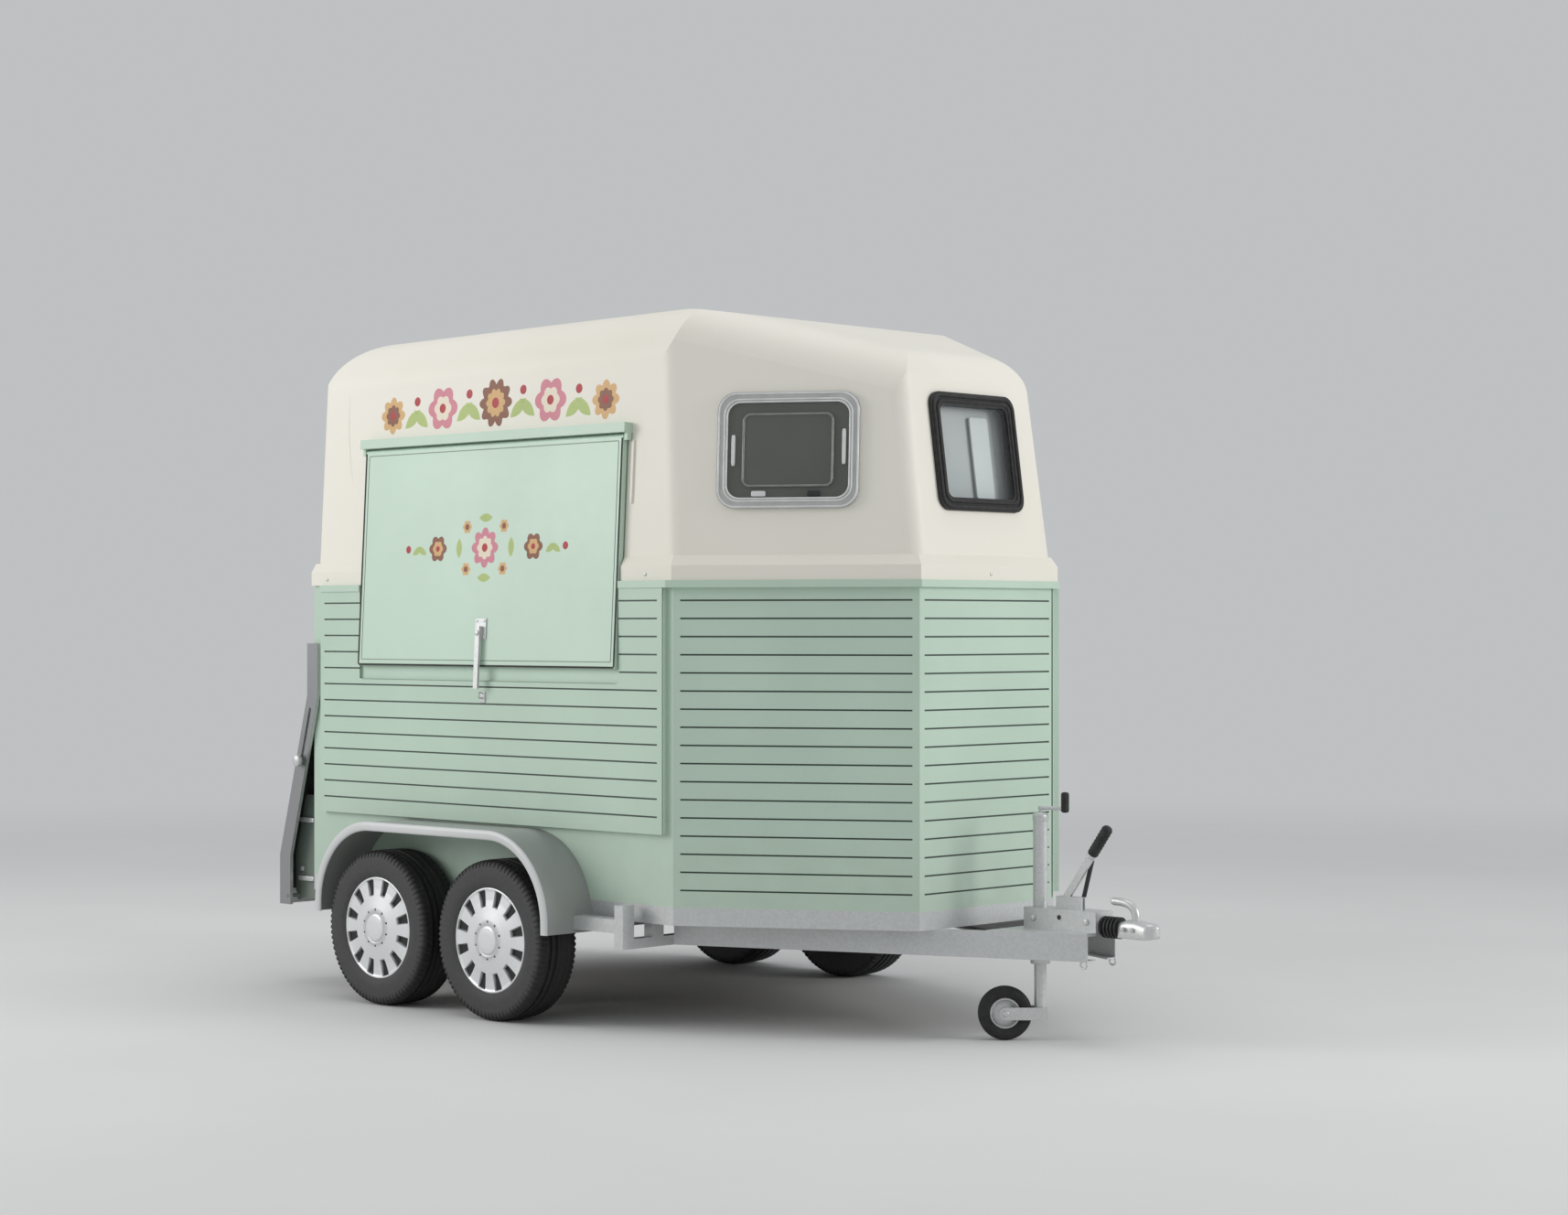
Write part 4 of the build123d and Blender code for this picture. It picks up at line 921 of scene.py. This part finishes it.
coupling_bolts = both_sides([(head_low.x + along, head_middle) for along in COUPLING_BOLTS], COUPLING_HALF)
buttons("coupling_bolts", *coupling_bolts, radius=0.008, height=0.012)
plate_bolts = [(plate_high.x - back, plate_high.z - down) for back, down in PLATE_BOLTS]
buttons("plate_bolts", *both_sides(plate_bolts, plate_high.y - PLATE_FACE), radius=0.011, height=0.007)

jack_low, jack_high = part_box("jockey_tyre")
hub = np.array((jack_low + jack_high) / 2)
stem = np.array([tube_high.x - TUBE_HALF, 0.0, hub[2]])
trail = unit(hub - stem)
axle = np.cross(trail, PLAIN[2])
fork_axes = np.array([trail, PLAIN[2], axle])
fork_ends = [end[2] for end in extent("jockey_leg", fork_axes)]
nut_places = [hub + axle * (end - hub @ axle) for end in fork_ends]
buttons("jockey_nuts", nut_places, [-axle, axle], radius=0.012, height=0.007, body="jockey_fork")
print("jack wheel trails its stem by", round(float(np.linalg.norm(hub - stem)), 4), "m")

# %% [markdown]
# ## Grips, eyes and rings
# A hand needs a grip: the handbrake ends in ribbed rubber and the crank in a plain knob. Both are turned,
# and the ribs are a cosine along the grip. The latch drops into a wire eye, and the drawbar's arms carry
# small rings for chains. A wire ring is a circle carried round a larger circle.

# %% Grips, eyes and rings
LEVER_FROM_REAR, LEVER_FOOT_RISE = 0.167, 0.095
LEVER = np.array([0.190, 0.0, 0.262])
GRIP_FROM, GRIP_PAST_TIP = 0.66, 0.021
KNOB_INSET, KNOB_FOOT, KNOB_HEAD = 0.012, 0.006, 0.0035
ARM_FROM_TIP, ARM_SIDE, ARM_DROP, ARM_RING, ARM_WIRE = 0.0135, 0.082, 0.0105, 0.013, 0.0038
EYE_DROP, EYE_RADIUS, EYE_WIRE = 0.060, 0.011, 0.003
EYE_OUT, EYE_PLATE, EYE_PLATE_OUT = (0.0, -0.012, 0.007), (0.015, 0.004, 0.022), (0.0, -0.001, 0.0)


def ribbed(low, high, radius, ribs, depth, rows=64):
    """Profile of a round grip: the radius swells and shrinks as a cosine and closes in at both ends."""
    along = np.linspace(0.0, 1.0, rows)
    ends = np.minimum(1.0, np.sqrt(np.maximum(0.02, 1.0 - np.abs(2.0 * along - 1.0) ** 14)))
    swell = (radius + depth * np.cos(2.0 * math.pi * ribs * along)) * ends
    return np.stack([swell, low + (high - low) * along], -1)


def loops(middles, first, second, radius, tube):
    """Round wire rings in the plane of two directions: a small circle carried round a large one."""
    turn, around_tube = around(48)[:, None, None], around(12)[None, :, None]
    spoke = np.cos(turn) * first + np.sin(turn) * second
    lift = np.cross(first, second) * tube * np.sin(around_tube)
    return np.atleast_2d(middles)[:, None, None] + spoke * (radius + tube * np.cos(around_tube)) + lift


lever_foot = (housing_low.x + LEVER_FROM_REAR, 0.0, housing_low.z + LEVER_FOOT_RISE)
lever_length = float(np.linalg.norm(LEVER))
grip_ends = (GRIP_FROM * lever_length, lever_length + GRIP_PAST_TIP)
grip_line = ribbed(*grip_ends, radius=0.0195, ribs=9, depth=0.0007)
add("handbrake_grip", turned(grip_line, lever_foot, LEVER), "trailer", "black_rubber")
crank_low, crank_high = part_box("jockey_crank")
knob_line = ribbed(crank_low.z + KNOB_FOOT, crank_high.z + KNOB_HEAD, radius=0.0145, ribs=1, depth=0.0)
knob_foot = (crank_high.x - KNOB_INSET, crank_high.y - KNOB_INSET, 0.0)
add("crank_knob", turned(knob_line, knob_foot, PLAIN[2]), "trailer", "black_rubber")
arm_low, arm_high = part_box("drawbar_left")
arm_tips = [(arm_high.x - ARM_FROM_TIP, side * ARM_SIDE, arm_low.z - ARM_DROP) for side in (-1, 1)]
arm_rings = loops(arm_tips, PLAIN[0], PLAIN[2], ARM_RING, ARM_WIRE)
add("arm_rings", arm_rings, "trailer", "zinc_casting", form="ring")
frame_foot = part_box("hatch_frame")[0].z
eye_place = np.array([hatch_middle, -side_edge, frame_foot - EYE_DROP])
eye_plate = block(eye_place + EYE_PLATE_OUT, PLAIN, EYE_PLATE)
add("latch_eye_plate", eye_plate, "trailer", "zinc_casting")
eye = loops(eye_place + EYE_OUT, PLAIN[1], PLAIN[2], EYE_RADIUS, EYE_WIRE)
add("latch_eye", eye, "trailer", "zinc_casting", form="ring")
print("handbrake", round(lever_length, 3), "m long, latch eye at", round(float(eye_place[2]), 3), "m")

# %% [markdown]
# ## Fittings on the ramp
# Each side plate carries two short bars, and each of the ramp's channels a round knob. A knob is a turned
# profile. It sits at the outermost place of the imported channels, which a comparison of all their points
# finds, and it rides on the ramp, so that it goes down with it.

# %% Ramp bars and knobs
KNOB_LINE = [(0.0100, -0.0205), (0.0215, -0.0195), (0.0245, -0.0160), (0.0250, -0.0080), (0.0235, -0.0020),
             (0.0180, 0.0020), (0.0040, 0.0030)]
BAR_BACK, BAR_DROPS, BAR_FACE, BAR_HALVES = 0.0955, (0.103, 0.343), 0.054, (0.052, 0.007, 0.010)
SAME_FACE = 0.001
bars = [(plate_high.x - BAR_BACK, plate_high.z - down) for down in BAR_DROPS]
bar_places = both_sides(bars, plate_high.y - BAR_FACE)[0]
add("plate_bars", block(bar_places, PLAIN, BAR_HALVES), "trailer", "zinc_casting")
channel_points = node_points("ramp_channels")
outermost = channel_points[channel_points[:, 1] > channel_points[:, 1].max() - SAME_FACE]
knob_middle = (outermost.min(0) + outermost.max(0)) / 2
knob_places, knob_ways = both_sides([knob_middle[[0, 2]]], knob_middle[1])
add("ramp_knobs", turned(KNOB_LINE, knob_places, knob_ways, 40), "ramp", "galvanised_frame")
print("ramp knobs at", knob_middle.round(3))

# %% [markdown]
# ## Coupling
# The coupling is a casting: a narrow neck swells to a hollow nose that drops over the tow ball, and a
# bent handle frees it. One closed section, widened and lifted along the length, gives such a body, and an
# ellipse carried along a bent line gives the handle. Both could be sculpted, but a formula keeps their
# real sizes.

# %% Coupling head and handle
# One section of the casting, as shares of its half width and half height.
HEAD_SECTION = [(1.0, -0.9), (1.0, -0.2), (0.88, 0.55), (0.48, 1.0), (-0.48, 1.0), (-0.88, 0.55),
                (-1.0, -0.2), (-1.0, -0.9), (-0.93, -1.0), (0.93, -1.0)]
NOSE_RADIUS, SOCKET_RADIUS, SOCKET_DEEP = 0.042, 0.0254, 0.036
NECK_LONG, NECK_HALVES = 0.045, (0.025, 0.028)
TOP_PLACES, TOP_DROPS = (0.0, 0.030, 0.070), (0.011, 0.002, 0.0, 0.006)
HANDLE_REACH, HANDLE_RISE, HANDLE_BEND = 0.106, 0.073, 0.6
HANDLE_BACK, HANDLE_DROP, HANDLE_IN, HANDLE_SIDE = 0.0105, 0.014, 0.0145, 0.0155


def swept(path, y, half_in, half_side, shrink=1.0):
    """Tube along a line in an upright lengthwise plane: an ellipse across the line, at a sideways place."""
    slope = unit(np.gradient(path, axis=0))
    turn = around(20)[None, :]
    inward = half_in * shrink * np.cos(turn)
    x = path[:, :1] - slope[:, 1:] * inward
    z = path[:, 1:] + slope[:, :1] * inward
    return np.stack([x, y + half_side * shrink * np.sin(turn) + 0.0 * x, z], -1)


def coupling_casting(low, high, rows=64, count=112):
    """Casting along the length: the section times a half width and a height, rounded off past the ball.

    The rounding is the root of one minus the squared way past the ball, a quarter circle. The flat bottom
    is lifted within the socket's radius of the ball, which makes the nose hollow.
    """
    section = respaced(smooth_loop(HEAD_SECTION, 2), count)
    wide, tall = section[None, :, 0], section[None, :, 1]
    ball = high.x - NOSE_RADIUS
    x = low.x + (high.x - low.x) * np.sin(np.linspace(0.0, 0.5 * math.pi, rows))[:, None]
    rounding = np.sqrt(1.0 - np.clip((x - ball) / NOSE_RADIUS, 0.0, 0.9995) ** 2)
    y = np.interp(x, [low.x, low.x + NECK_LONG, ball], [*NECK_HALVES, high.y]) * rounding * wide
    top = high.z - np.interp(x, [low.x + along for along in TOP_PLACES] + [ball], TOP_DROPS)
    z = (top + low.z) / 2 + (top - low.z) / 2 * (0.40 + 0.60 * rounding) * tall
    z = z + SOCKET_DEEP * step(SOCKET_RADIUS - np.hypot(x - ball, y), 0.0, 0.0008) * (tall < -0.95)
    return np.stack([x + 0.0 * y, y, z], -1)


def coupling_handle(low, rows=60):
    """Handle: an ellipse along a quarter of a superellipse, a cosine and a sine raised to a power."""
    bow = np.linspace(0.0, 0.5 * math.pi, 80)
    x = low.x + HANDLE_BACK + HANDLE_REACH * np.cos(bow) ** HANDLE_BEND
    z = low.z - HANDLE_DROP + HANDLE_RISE * np.sin(bow) ** HANDLE_BEND
    blunt = np.sqrt(np.maximum(0.02, 1.0 - np.linspace(-1.0, 1.0, rows) ** 20))[:, None]
    return swept(evenly(np.stack([x, z], -1), rows), 0.0, HANDLE_IN, HANDLE_SIDE, blunt)


casting = coupling_casting(head_low, head_high)
add("coupling_casting", casting, "trailer", "zinc_casting", "coupling_head")
handle = coupling_handle(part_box("coupling_handle")[0])
add("coupling_grip", handle, "trailer", "zinc_casting", "coupling_handle")
print("coupling", casting.shape, handle.shape)

# %% [markdown]
# ## Jack wheel
# The jack's wheel is a small balloon tyre on a dished rim, and both are turned about its axle. A collar
# closes the foot of the tube in which the stem slides, and a cap its head. Turned shapes need only a
# profile each.

# %% Jack wheel and collars
# Half of the tyre's section: place across and radius. The other profiles are radius and height.
BALLOON_HALF = [(0.0, 0.0960), (0.014, 0.0957), (0.0225, 0.0880), (0.0250, 0.0745), (0.0220, 0.0620),
                (0.0165, 0.0530), (0.0, 0.0520)]
FOOT_RING = [(0.0238, -0.010), (0.0335, -0.010), (0.0352, -0.008), (0.0352, 0.008), (0.0335, 0.010),
             (0.0238, 0.010)]
CAP_LINE = [(0.0268, 0.0), (0.0280, 0.002), (0.0280, 0.020), (0.0268, 0.026), (0.0210, 0.031),
            (0.0110, 0.033)]
FOOT_RING_DROP, CAP_DROP, HUB_PLAY = 0.004, 0.025, 0.0005
balloon = respaced(smooth_loop(mirrored(BALLOON_HALF)), 64)
jack_tyre = turned(balloon[:, ::-1], hub, axle, 120)
add("jack_tyre", jack_tyre, "jockey_wheel", slots["jockey_tyre"], "jockey_tyre", form="ring")
rim_low, rim_high = extent("jockey_rim", fork_axes)
hub_half = (rim_high[2] - rim_low[2]) / 2 - HUB_PLAY
rim_half = [(0.0086, hub_half), (0.0180, hub_half), (0.0195, hub_half - 0.0015), (0.0205, 0.0070),
            (0.0260, 0.0050), (0.0410, 0.0050), (0.0450, 0.0080), (0.0470, 0.0165), (0.0490, 0.0195),
            (0.0520, 0.0200), (0.0545, 0.0180), (0.0555, 0.0140)]
rim_line = rim_half + [(radius, -height) for radius, height in reversed(rim_half)]
add("jack_rim", turned(rim_line, hub, axle, 96), "jockey_wheel", slots["jockey_rim"], "jockey_rim",
    material=materials["zinc_casting"], form="ring")
foot_ring = turned(FOOT_RING, (stem[0], 0.0, tube_low.z - FOOT_RING_DROP), PLAIN[2], 48)
add("jack_foot_ring", foot_ring, "trailer", "zinc_casting", form="ring")
cap = turned(CAP_LINE, (stem[0], 0.0, tube_high.z - CAP_DROP), PLAIN[2], 48)
add("jack_cap", cap, "trailer", "zinc_casting")
print("jack wheel hub half width", round(float(hub_half), 4), "m")

# %% [markdown]
# ## Guard edges and the corner line
# The mudguards end in a broad rolled edge, which is an ellipse carried along the guard's outline. Where
# the front wall meets the left nose wall a dark upright joint shows, and a thin block is enough for it.

# %% Guard edges and the corner line
GUARD_BEND, EDGE_INSET, EDGE_SUNK, EDGE_IN, EDGE_SIDE = 0.330, 0.016, 0.001, 0.018, 0.008
JOINT_INSET, JOINT_PROUD, JOINT_HALF, JOINT_GAP = 0.008, 0.0015, 0.0028, 0.002


def guard_outline(low, high, inset):
    """Line inside a guard's edge from the side: up, a quarter circle, level, another one, and down."""
    bend = GUARD_BEND - inset
    front, rear, top = high.x - inset, low.x + inset, high.z - inset
    quarter = np.linspace(0.0, 0.5 * math.pi, 24)
    return np.vstack([
        [(front, low.z)],
        np.stack([front - bend + bend * np.cos(quarter), top - bend + bend * np.sin(quarter)], -1),
        np.stack([rear + bend - bend * np.sin(quarter), top - bend + bend * np.cos(quarter)], -1),
        [(rear, low.z)],
    ])


low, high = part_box("mudguard_left")
edge_line = evenly(guard_outline(low, high, EDGE_INSET), 160)
edges = [swept(edge_line, side * (high.y - EDGE_SUNK), EDGE_IN, EDGE_SIDE) for side in (-1, 1)]
edge_paint = paint("guard_edge", BRIGHT_EDGE, roughness=0.32)
add("guard_edges", edges, "trailer", "grey_guard", material=edge_paint)
low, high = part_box("front_wall")
joint_halves = (JOINT_PROUD, JOINT_HALF, (high.z - low.z) / 2 - JOINT_GAP)
joint = block((high.x, high.y - JOINT_INSET, (low.z + high.z) / 2), PLAIN, joint_halves)
add("corner_joint", joint, "trailer", "mint_paint", material=paint("joint_line", GROOVE))
print("guard edges", edges[0].shape)

# %% [markdown]
# ## Lines on the hatch
# The hatch is a sheet on a frame, and the step at the sheet's edge throws a fine shadow inside its border.
# Here that shade is painted: a dark line along the sheet's edge, black strips in the gap at the hatch's
# sides and foot, and another fine dark line at the foot of the frame. A tube along a rounded rectangle
# makes the first, and thin blocks make the rest.

# %% Hatch lines
SHEET_LINE = dict(half_along=0.728, half_up=0.404, corner_radius=0.004, tube=0.0016)
SHEET_MIDDLE = 0.428
GAP_SHADE_ALONG, GAP_SHADE_UP, GAP_SHADE_FOOT = 0.7462, 0.424, 0.0038
GAP_SHADE_SIDE, GAP_SHADE_BASE = (0.0038, 0.420, 0.0016), (GAP_SHADE_ALONG, 0.0036, 0.0016)
FRAME_LINE, FRAME_LINE_RISE = (0.745, 0.0007, 0.0014), 0.0015
LINE_BEND = 0.12
# Painted shade: a dark mint for the shadow line along the sheet's edge and the one under the frame.
shade_line_paint = paint("mint_shade_line", near(MINT, 0.45), roughness=0.4)
sheet_middle = (hatch_middle, hatch_low[1] + SHEET_MIDDLE, hatch_high[2])
sheet_line = ring_tube(hatch_axes, sheet_middle, **SHEET_LINE)
add("hatch_sheet_edge", sheet_line, "serving_hatch", "mint_hatch", material=shade_line_paint, form="ring")
# Black strips painted into the gap at the hatch's sides and foot, as the shade that lies there.
upright_places = [on_hatch(side * GAP_SHADE_ALONG, GAP_SHADE_UP, 0.0) for side in (-1, 1)]
gap_shade = np.concatenate([
    block(upright_places, hatch_axes, GAP_SHADE_SIDE, LINE_BEND),
    block(on_hatch(0.0, GAP_SHADE_FOOT, 0.0), hatch_axes, GAP_SHADE_BASE, LINE_BEND),
])
add("hatch_gap_shade", gap_shade, "serving_hatch", "black_rubber")
# A fine dark line painted at the foot of the frame as its shadow.
frame_place = (hatch_middle, -side_edge, frame_foot + FRAME_LINE_RISE)
frame_line = block(frame_place, PLAIN, FRAME_LINE, LINE_BEND)
add("hatch_frame_line", frame_line, "trailer", "mint_trim", material=shade_line_paint)
print("hatch lines,", len(gap_shade), "pieces of edging")

# %% [markdown]
# ## Lines on the hood
# Beside the hatch runs a thin upright strip. The hood has a soft crease where its rear corner starts: a
# low ridge that follows a gentle curve and fades at both ends, written as a height over a strip.

# %% Hood lines
SIDE_LEAN = 3.1
HOOD_INSET, RIM_TALL = 0.004, 0.053
STRIP_GAP, STRIP_HEIGHT, STRIP_PROUD, STRIP_HALVES = 0.0335, 2.030, 0.003, (0.006, 0.118, 0.005)
CREASE_FROM_REAR, CREASE_BOW, CREASE_TURN = 0.1755, 0.085, 0.22
CREASE_TOP, CREASE_FALL, CREASE_HALF, CREASE_PROUD = 2.410, 0.380, 0.009, 0.0022
hood_axes = wall_axes(-90.0, SIDE_LEAN)


def hood_side(x, z, out=0.0):
    """Point on the hood's right side by length and height, moved outward; the side leans in upward."""
    lean = math.radians(SIDE_LEAN)
    half = shoulder.y - HOOD_INSET - (z - hood_low.z - RIM_TALL) * math.tan(lean)
    return np.stack(np.broadcast_arrays(x, -half - out * math.cos(lean), z + out * math.sin(lean)), -1)


def ridge(x, z, width, height):
    """Low ridge along a line on the hood's side: a half wave across, fading to nothing at both ends."""
    along = np.linspace(0.0, 1.0, len(x))[:, None]
    swell = np.sin(math.pi * along) ** 0.6
    turn = around(16)[None, :]
    slope = unit(np.stack([np.gradient(x), np.gradient(z)], -1))
    shift = width * swell * np.cos(turn)
    proud = height * swell * np.sin(turn)
    return hood_side(x[:, None] - slope[:, 1:] * shift, z[:, None] + slope[:, :1] * shift, proud)


strip_place = hood_side(hatch_high[0] + STRIP_GAP, STRIP_HEIGHT, STRIP_PROUD)
strip = block(strip_place, hood_axes, STRIP_HALVES)
add("drip_strip", strip, "trailer", "cream_shell")
along = np.linspace(0.0, 1.0, 40)
crease_x = hood_low.x + CREASE_FROM_REAR + CREASE_BOW * (along - CREASE_TURN) ** 2
crease = ridge(crease_x, CREASE_TOP - CREASE_FALL * along, CREASE_HALF, CREASE_PROUD)
add("hood_crease", crease, "trailer", "cream_shell")
print("hood lines", crease.shape)

# %% [markdown]
# ## A painted pattern
# A stand like this one is bright over and on its hatch. Here it carries a pattern of rosettes, leaves and
# dots. Each shape is a low lens: the outline is a radius that waves as the angle goes round, and the
# height falls off towards the outline. Geometry keeps the edges crisp at any distance, which a texture of
# limited size does not.

# %% Pattern shapes
ART = {
    "pink": (0.62, 0.215, 0.275), "lime": (0.42, 0.52, 0.175), "brown": (0.235, 0.085, 0.042),
    "ivory": (0.80, 0.70, 0.56), "red": (0.42, 0.022, 0.035), "honey": (0.66, 0.40, 0.165),
}
art_paint = {name: paint("art_" + name, colour, roughness=0.5) for name, colour in ART.items()}


def lens(outline, thickness, rows=7, columns=64):
    """Low lens inside an outline given by two functions of the angle: a dome on top and a flat back."""
    turn = around(columns)[None, :]
    inward = np.concatenate([np.linspace(0.02, 1.0, rows), np.linspace(1.0, 0.02, 4)])[:, None]
    top = np.arange(rows + 4)[:, None] < rows
    height = np.where(top, thickness * (1.0 - 0.6 * inward ** 6), -thickness)
    a, b = outline(turn)
    return np.stack(np.broadcast_arrays(a * inward, b * inward, height), -1)


def rosette(radius, petals, wave):
    """Outline whose radius swells once for each petal, as the size of a cosine does."""

    def outline(turn):
        reach = radius * (1.0 - wave + wave * np.abs(np.cos(0.5 * petals * turn)))
        return reach * np.cos(turn), reach * np.sin(turn)

    return outline


def leaf(length, width, tilt):
    """Pointed outline: an ellipse pinched to zero width at both ends, turned by an angle in degrees."""

    def outline(turn):
        a, b = length * np.cos(turn), width * np.sin(turn) * np.abs(np.sin(turn))
        c, s = math.cos(math.radians(tilt)), math.sin(math.radians(tilt))
        return c * a - s * b, s * a + c * b

    return outline


def dot(colour, a, b, radius, lift=0.008):
    """Round spot: a rosette without waves."""
    return (colour, a, b, lift, rosette(radius, 1, 0.0))


def flower(a, b, size, outer, inner, petals):
    """Rosette with a second one in it and a dot in the middle."""
    return [(outer, a, b, 0.006, rosette(size, petals, 0.26)),
            (inner, a, b, 0.011, rosette(0.62 * size, petals, 0.2)), dot("red", a, b, 0.24 * size, 0.016)]


def sprig(a, b, size, tilt):
    """Two leaves that lean away from each other."""
    shift, width = 0.45 * size, 0.42 * size
    return [("lime", a + side * shift, b, 0.006, leaf(size, width, -side * tilt)) for side in (-1, 1)]


def pattern(origin, axes, scale, shapes, body, slot, prefix):
    """Puts every shape of a list on a wall, at its place from an origin, one mesh for each colour."""
    for colour in ART:
        grids = [
            origin + scale * (lens(outline, lift) + (a, b, 0.0)) @ axes
            for name, a, b, lift, outline in shapes if name == colour
        ]
        if grids:
            add(prefix + "_" + colour, grids, body, slot, material=art_paint[colour])


print(len(ART), "colours")

# %% Pattern on the hood and the hatch
BAND_HEIGHT, BAND_SCALE = 2.318, 0.090
WREATH_UP, WREATH_SCALE, WREATH_ALONG, WREATH_TALL = 0.455, 0.062, 2.45, 1.85
band = []
for a, b, size, outer, inner, petals in (
    (-6.9, -0.18, 0.82, "honey", "brown", 8),
    (-3.5, -0.02, 0.98, "pink", "ivory", 6),
    (0.0, 0.04, 1.06, "brown", "honey", 10),
    (3.5, -0.02, 0.98, "pink", "ivory", 6),
    (6.9, -0.18, 0.82, "honey", "brown", 8),
):
    band += flower(a, b, size, outer, inner, petals)
for a, b in ((-5.25, -0.1), (-1.75, 0.05), (1.75, 0.05), (5.25, -0.1)):
    band += sprig(a, b - 0.30, 0.62, 38.0) + [dot("red", a, b + 0.46, 0.2)]
band_origin = hood_side(hatch_middle, BAND_HEIGHT)
pattern(band_origin, hood_axes, BAND_SCALE, band, "trailer", "cream_shell", "hood_pattern")

wreath = flower(0.0, 0.0, 1.25, "pink", "ivory", 8)
for k in range(8):
    a, b = WREATH_ALONG * math.cos(0.25 * math.pi * k), WREATH_TALL * math.sin(0.25 * math.pi * k)
    if k % 2:
        wreath += [("honey", a, b, 0.006, rosette(0.42, 6, 0.25)), dot("brown", a, b, 0.2, 0.011)]
    else:
        wreath += [("lime", a, b, 0.006, leaf(0.62, 0.26, 45.0 * k + 90.0))]
for side in (-1, 1):
    wreath += flower(side * 4.5, 0.0, 0.85, "brown", "honey", 6) + sprig(side * 6.3, -0.1, 0.5, 30.0)
    wreath += [dot("red", side * 7.4, 0.0, 0.24)]
wreath_origin = on_hatch(0.0, WREATH_UP, 0.0)
pattern(wreath_origin, hatch_axes, WREATH_SCALE, wreath, "serving_hatch", "mint_hatch", "hatch_pattern")
print("pattern shapes", len(band) + len(wreath))

# %% [markdown]
# ## Floor
# The floor is a pale sheet, flat and square. Far from the trailer it fades out, so that no edge or
# horizon shows against the pale surroundings from any side. A backdrop could do the same for one camera
# only.

# %% Floor
FLOOR_HALF, FLOOR_LINES = 18.0, 25
FADE_FROM, FADE_TO = 5.0, 15.0


def floor_paint():
    """Matt pale grey that fades with the distance from the middle, the root of x squared plus y squared."""
    shader = Shader("studio_floor")
    sheen = shader.noise(0.6, 3.0)
    squares = [shader.math("POWER", shader.axis(letter), 2.0) for letter in "XY"]
    distance = shader.math("SQRT", shader.math("ADD", *squares))
    fade = shader.add("ShaderNodeMapRange", interpolation_type="SMOOTHSTEP", Value=distance,
                      From_Min=FADE_FROM, From_Max=FADE_TO, To_Min=1.0, To_Max=0.0).outputs["Result"]
    colour = shader.ramp(sheen, (0.3, (0.70, 0.70, 0.695)), (0.7, (0.73, 0.73, 0.725)))
    return shader.finish(colour, shader.span(sheen, 0.8, 0.9), Alpha=fade, Specular_IOR_Level=0.08)


spread = np.linspace(-FLOOR_HALF, FLOOR_HALF, FLOOR_LINES)
floor_points = np.stack(np.meshgrid(spread, spread, [0.0], indexing="ij"), -1)[:, :, 0]
floor = surface("studio_floor", floor_points, floor_paint(), "sheet")
print("floor", floor_points.shape)

# %% [markdown]
# ## Light
# Three large lamps are enough: a key from the hatch side, a fill from the front and a weak top light that
# draws the eaves. The nose is turned away from both side lamps, which is why it reads a shade darker than
# its neighbours. The world adds an even grey light from all round, so that no shadow is black.

# %% Lamps
# Name, place, point that the lamp looks at, width, power and colour.
LAMPS = (
    ("key", (-6.5, -8.0, 4.6), (-0.7, -0.5, 1.4), 5.0, 400.0, (1.0, 0.99, 0.97)),
    ("fill", (9.5, 4.5, 4.0), (0.9, 0.0, 1.4), 4.0, 400.0, (1.0, 1.0, 0.99)),
    ("top", (0.0, 0.0, 8.5), (0.0, 0.0, 0.0), 5.0, 120.0, (1.0, 1.0, 1.0)),
)
SKY, SKY_STRENGTH = (0.80, 0.82, 0.84, 1.0), 0.65


def lamp(name, place, aim, size, power, colour):
    """A large square lamp at a place, tipped and turned so that it looks at a point."""
    data = bpy.data.lights.new(name, "AREA")
    data.size = size
    data.energy = power
    data.color = colour
    lit = bpy.data.objects.new(name, data)
    lit.location = place
    x, y, z = np.array(aim) - np.array(place)
    lit.rotation_euler = (math.atan2(math.hypot(x, y), -z), 0.0, math.atan2(y, x) - math.pi / 2)
    bpy.context.scene.collection.objects.link(lit)


for setting in LAMPS:
    lamp(*setting)
world = bpy.data.worlds.new("studio")
world.use_nodes = True
world.node_tree.nodes["Background"].inputs["Color"].default_value = SKY
world.node_tree.nodes["Background"].inputs["Strength"].default_value = SKY_STRENGTH
bpy.context.scene.world = world
bpy.context.scene.view_settings.view_transform = "Standard"
print(len(LAMPS), "lamps")
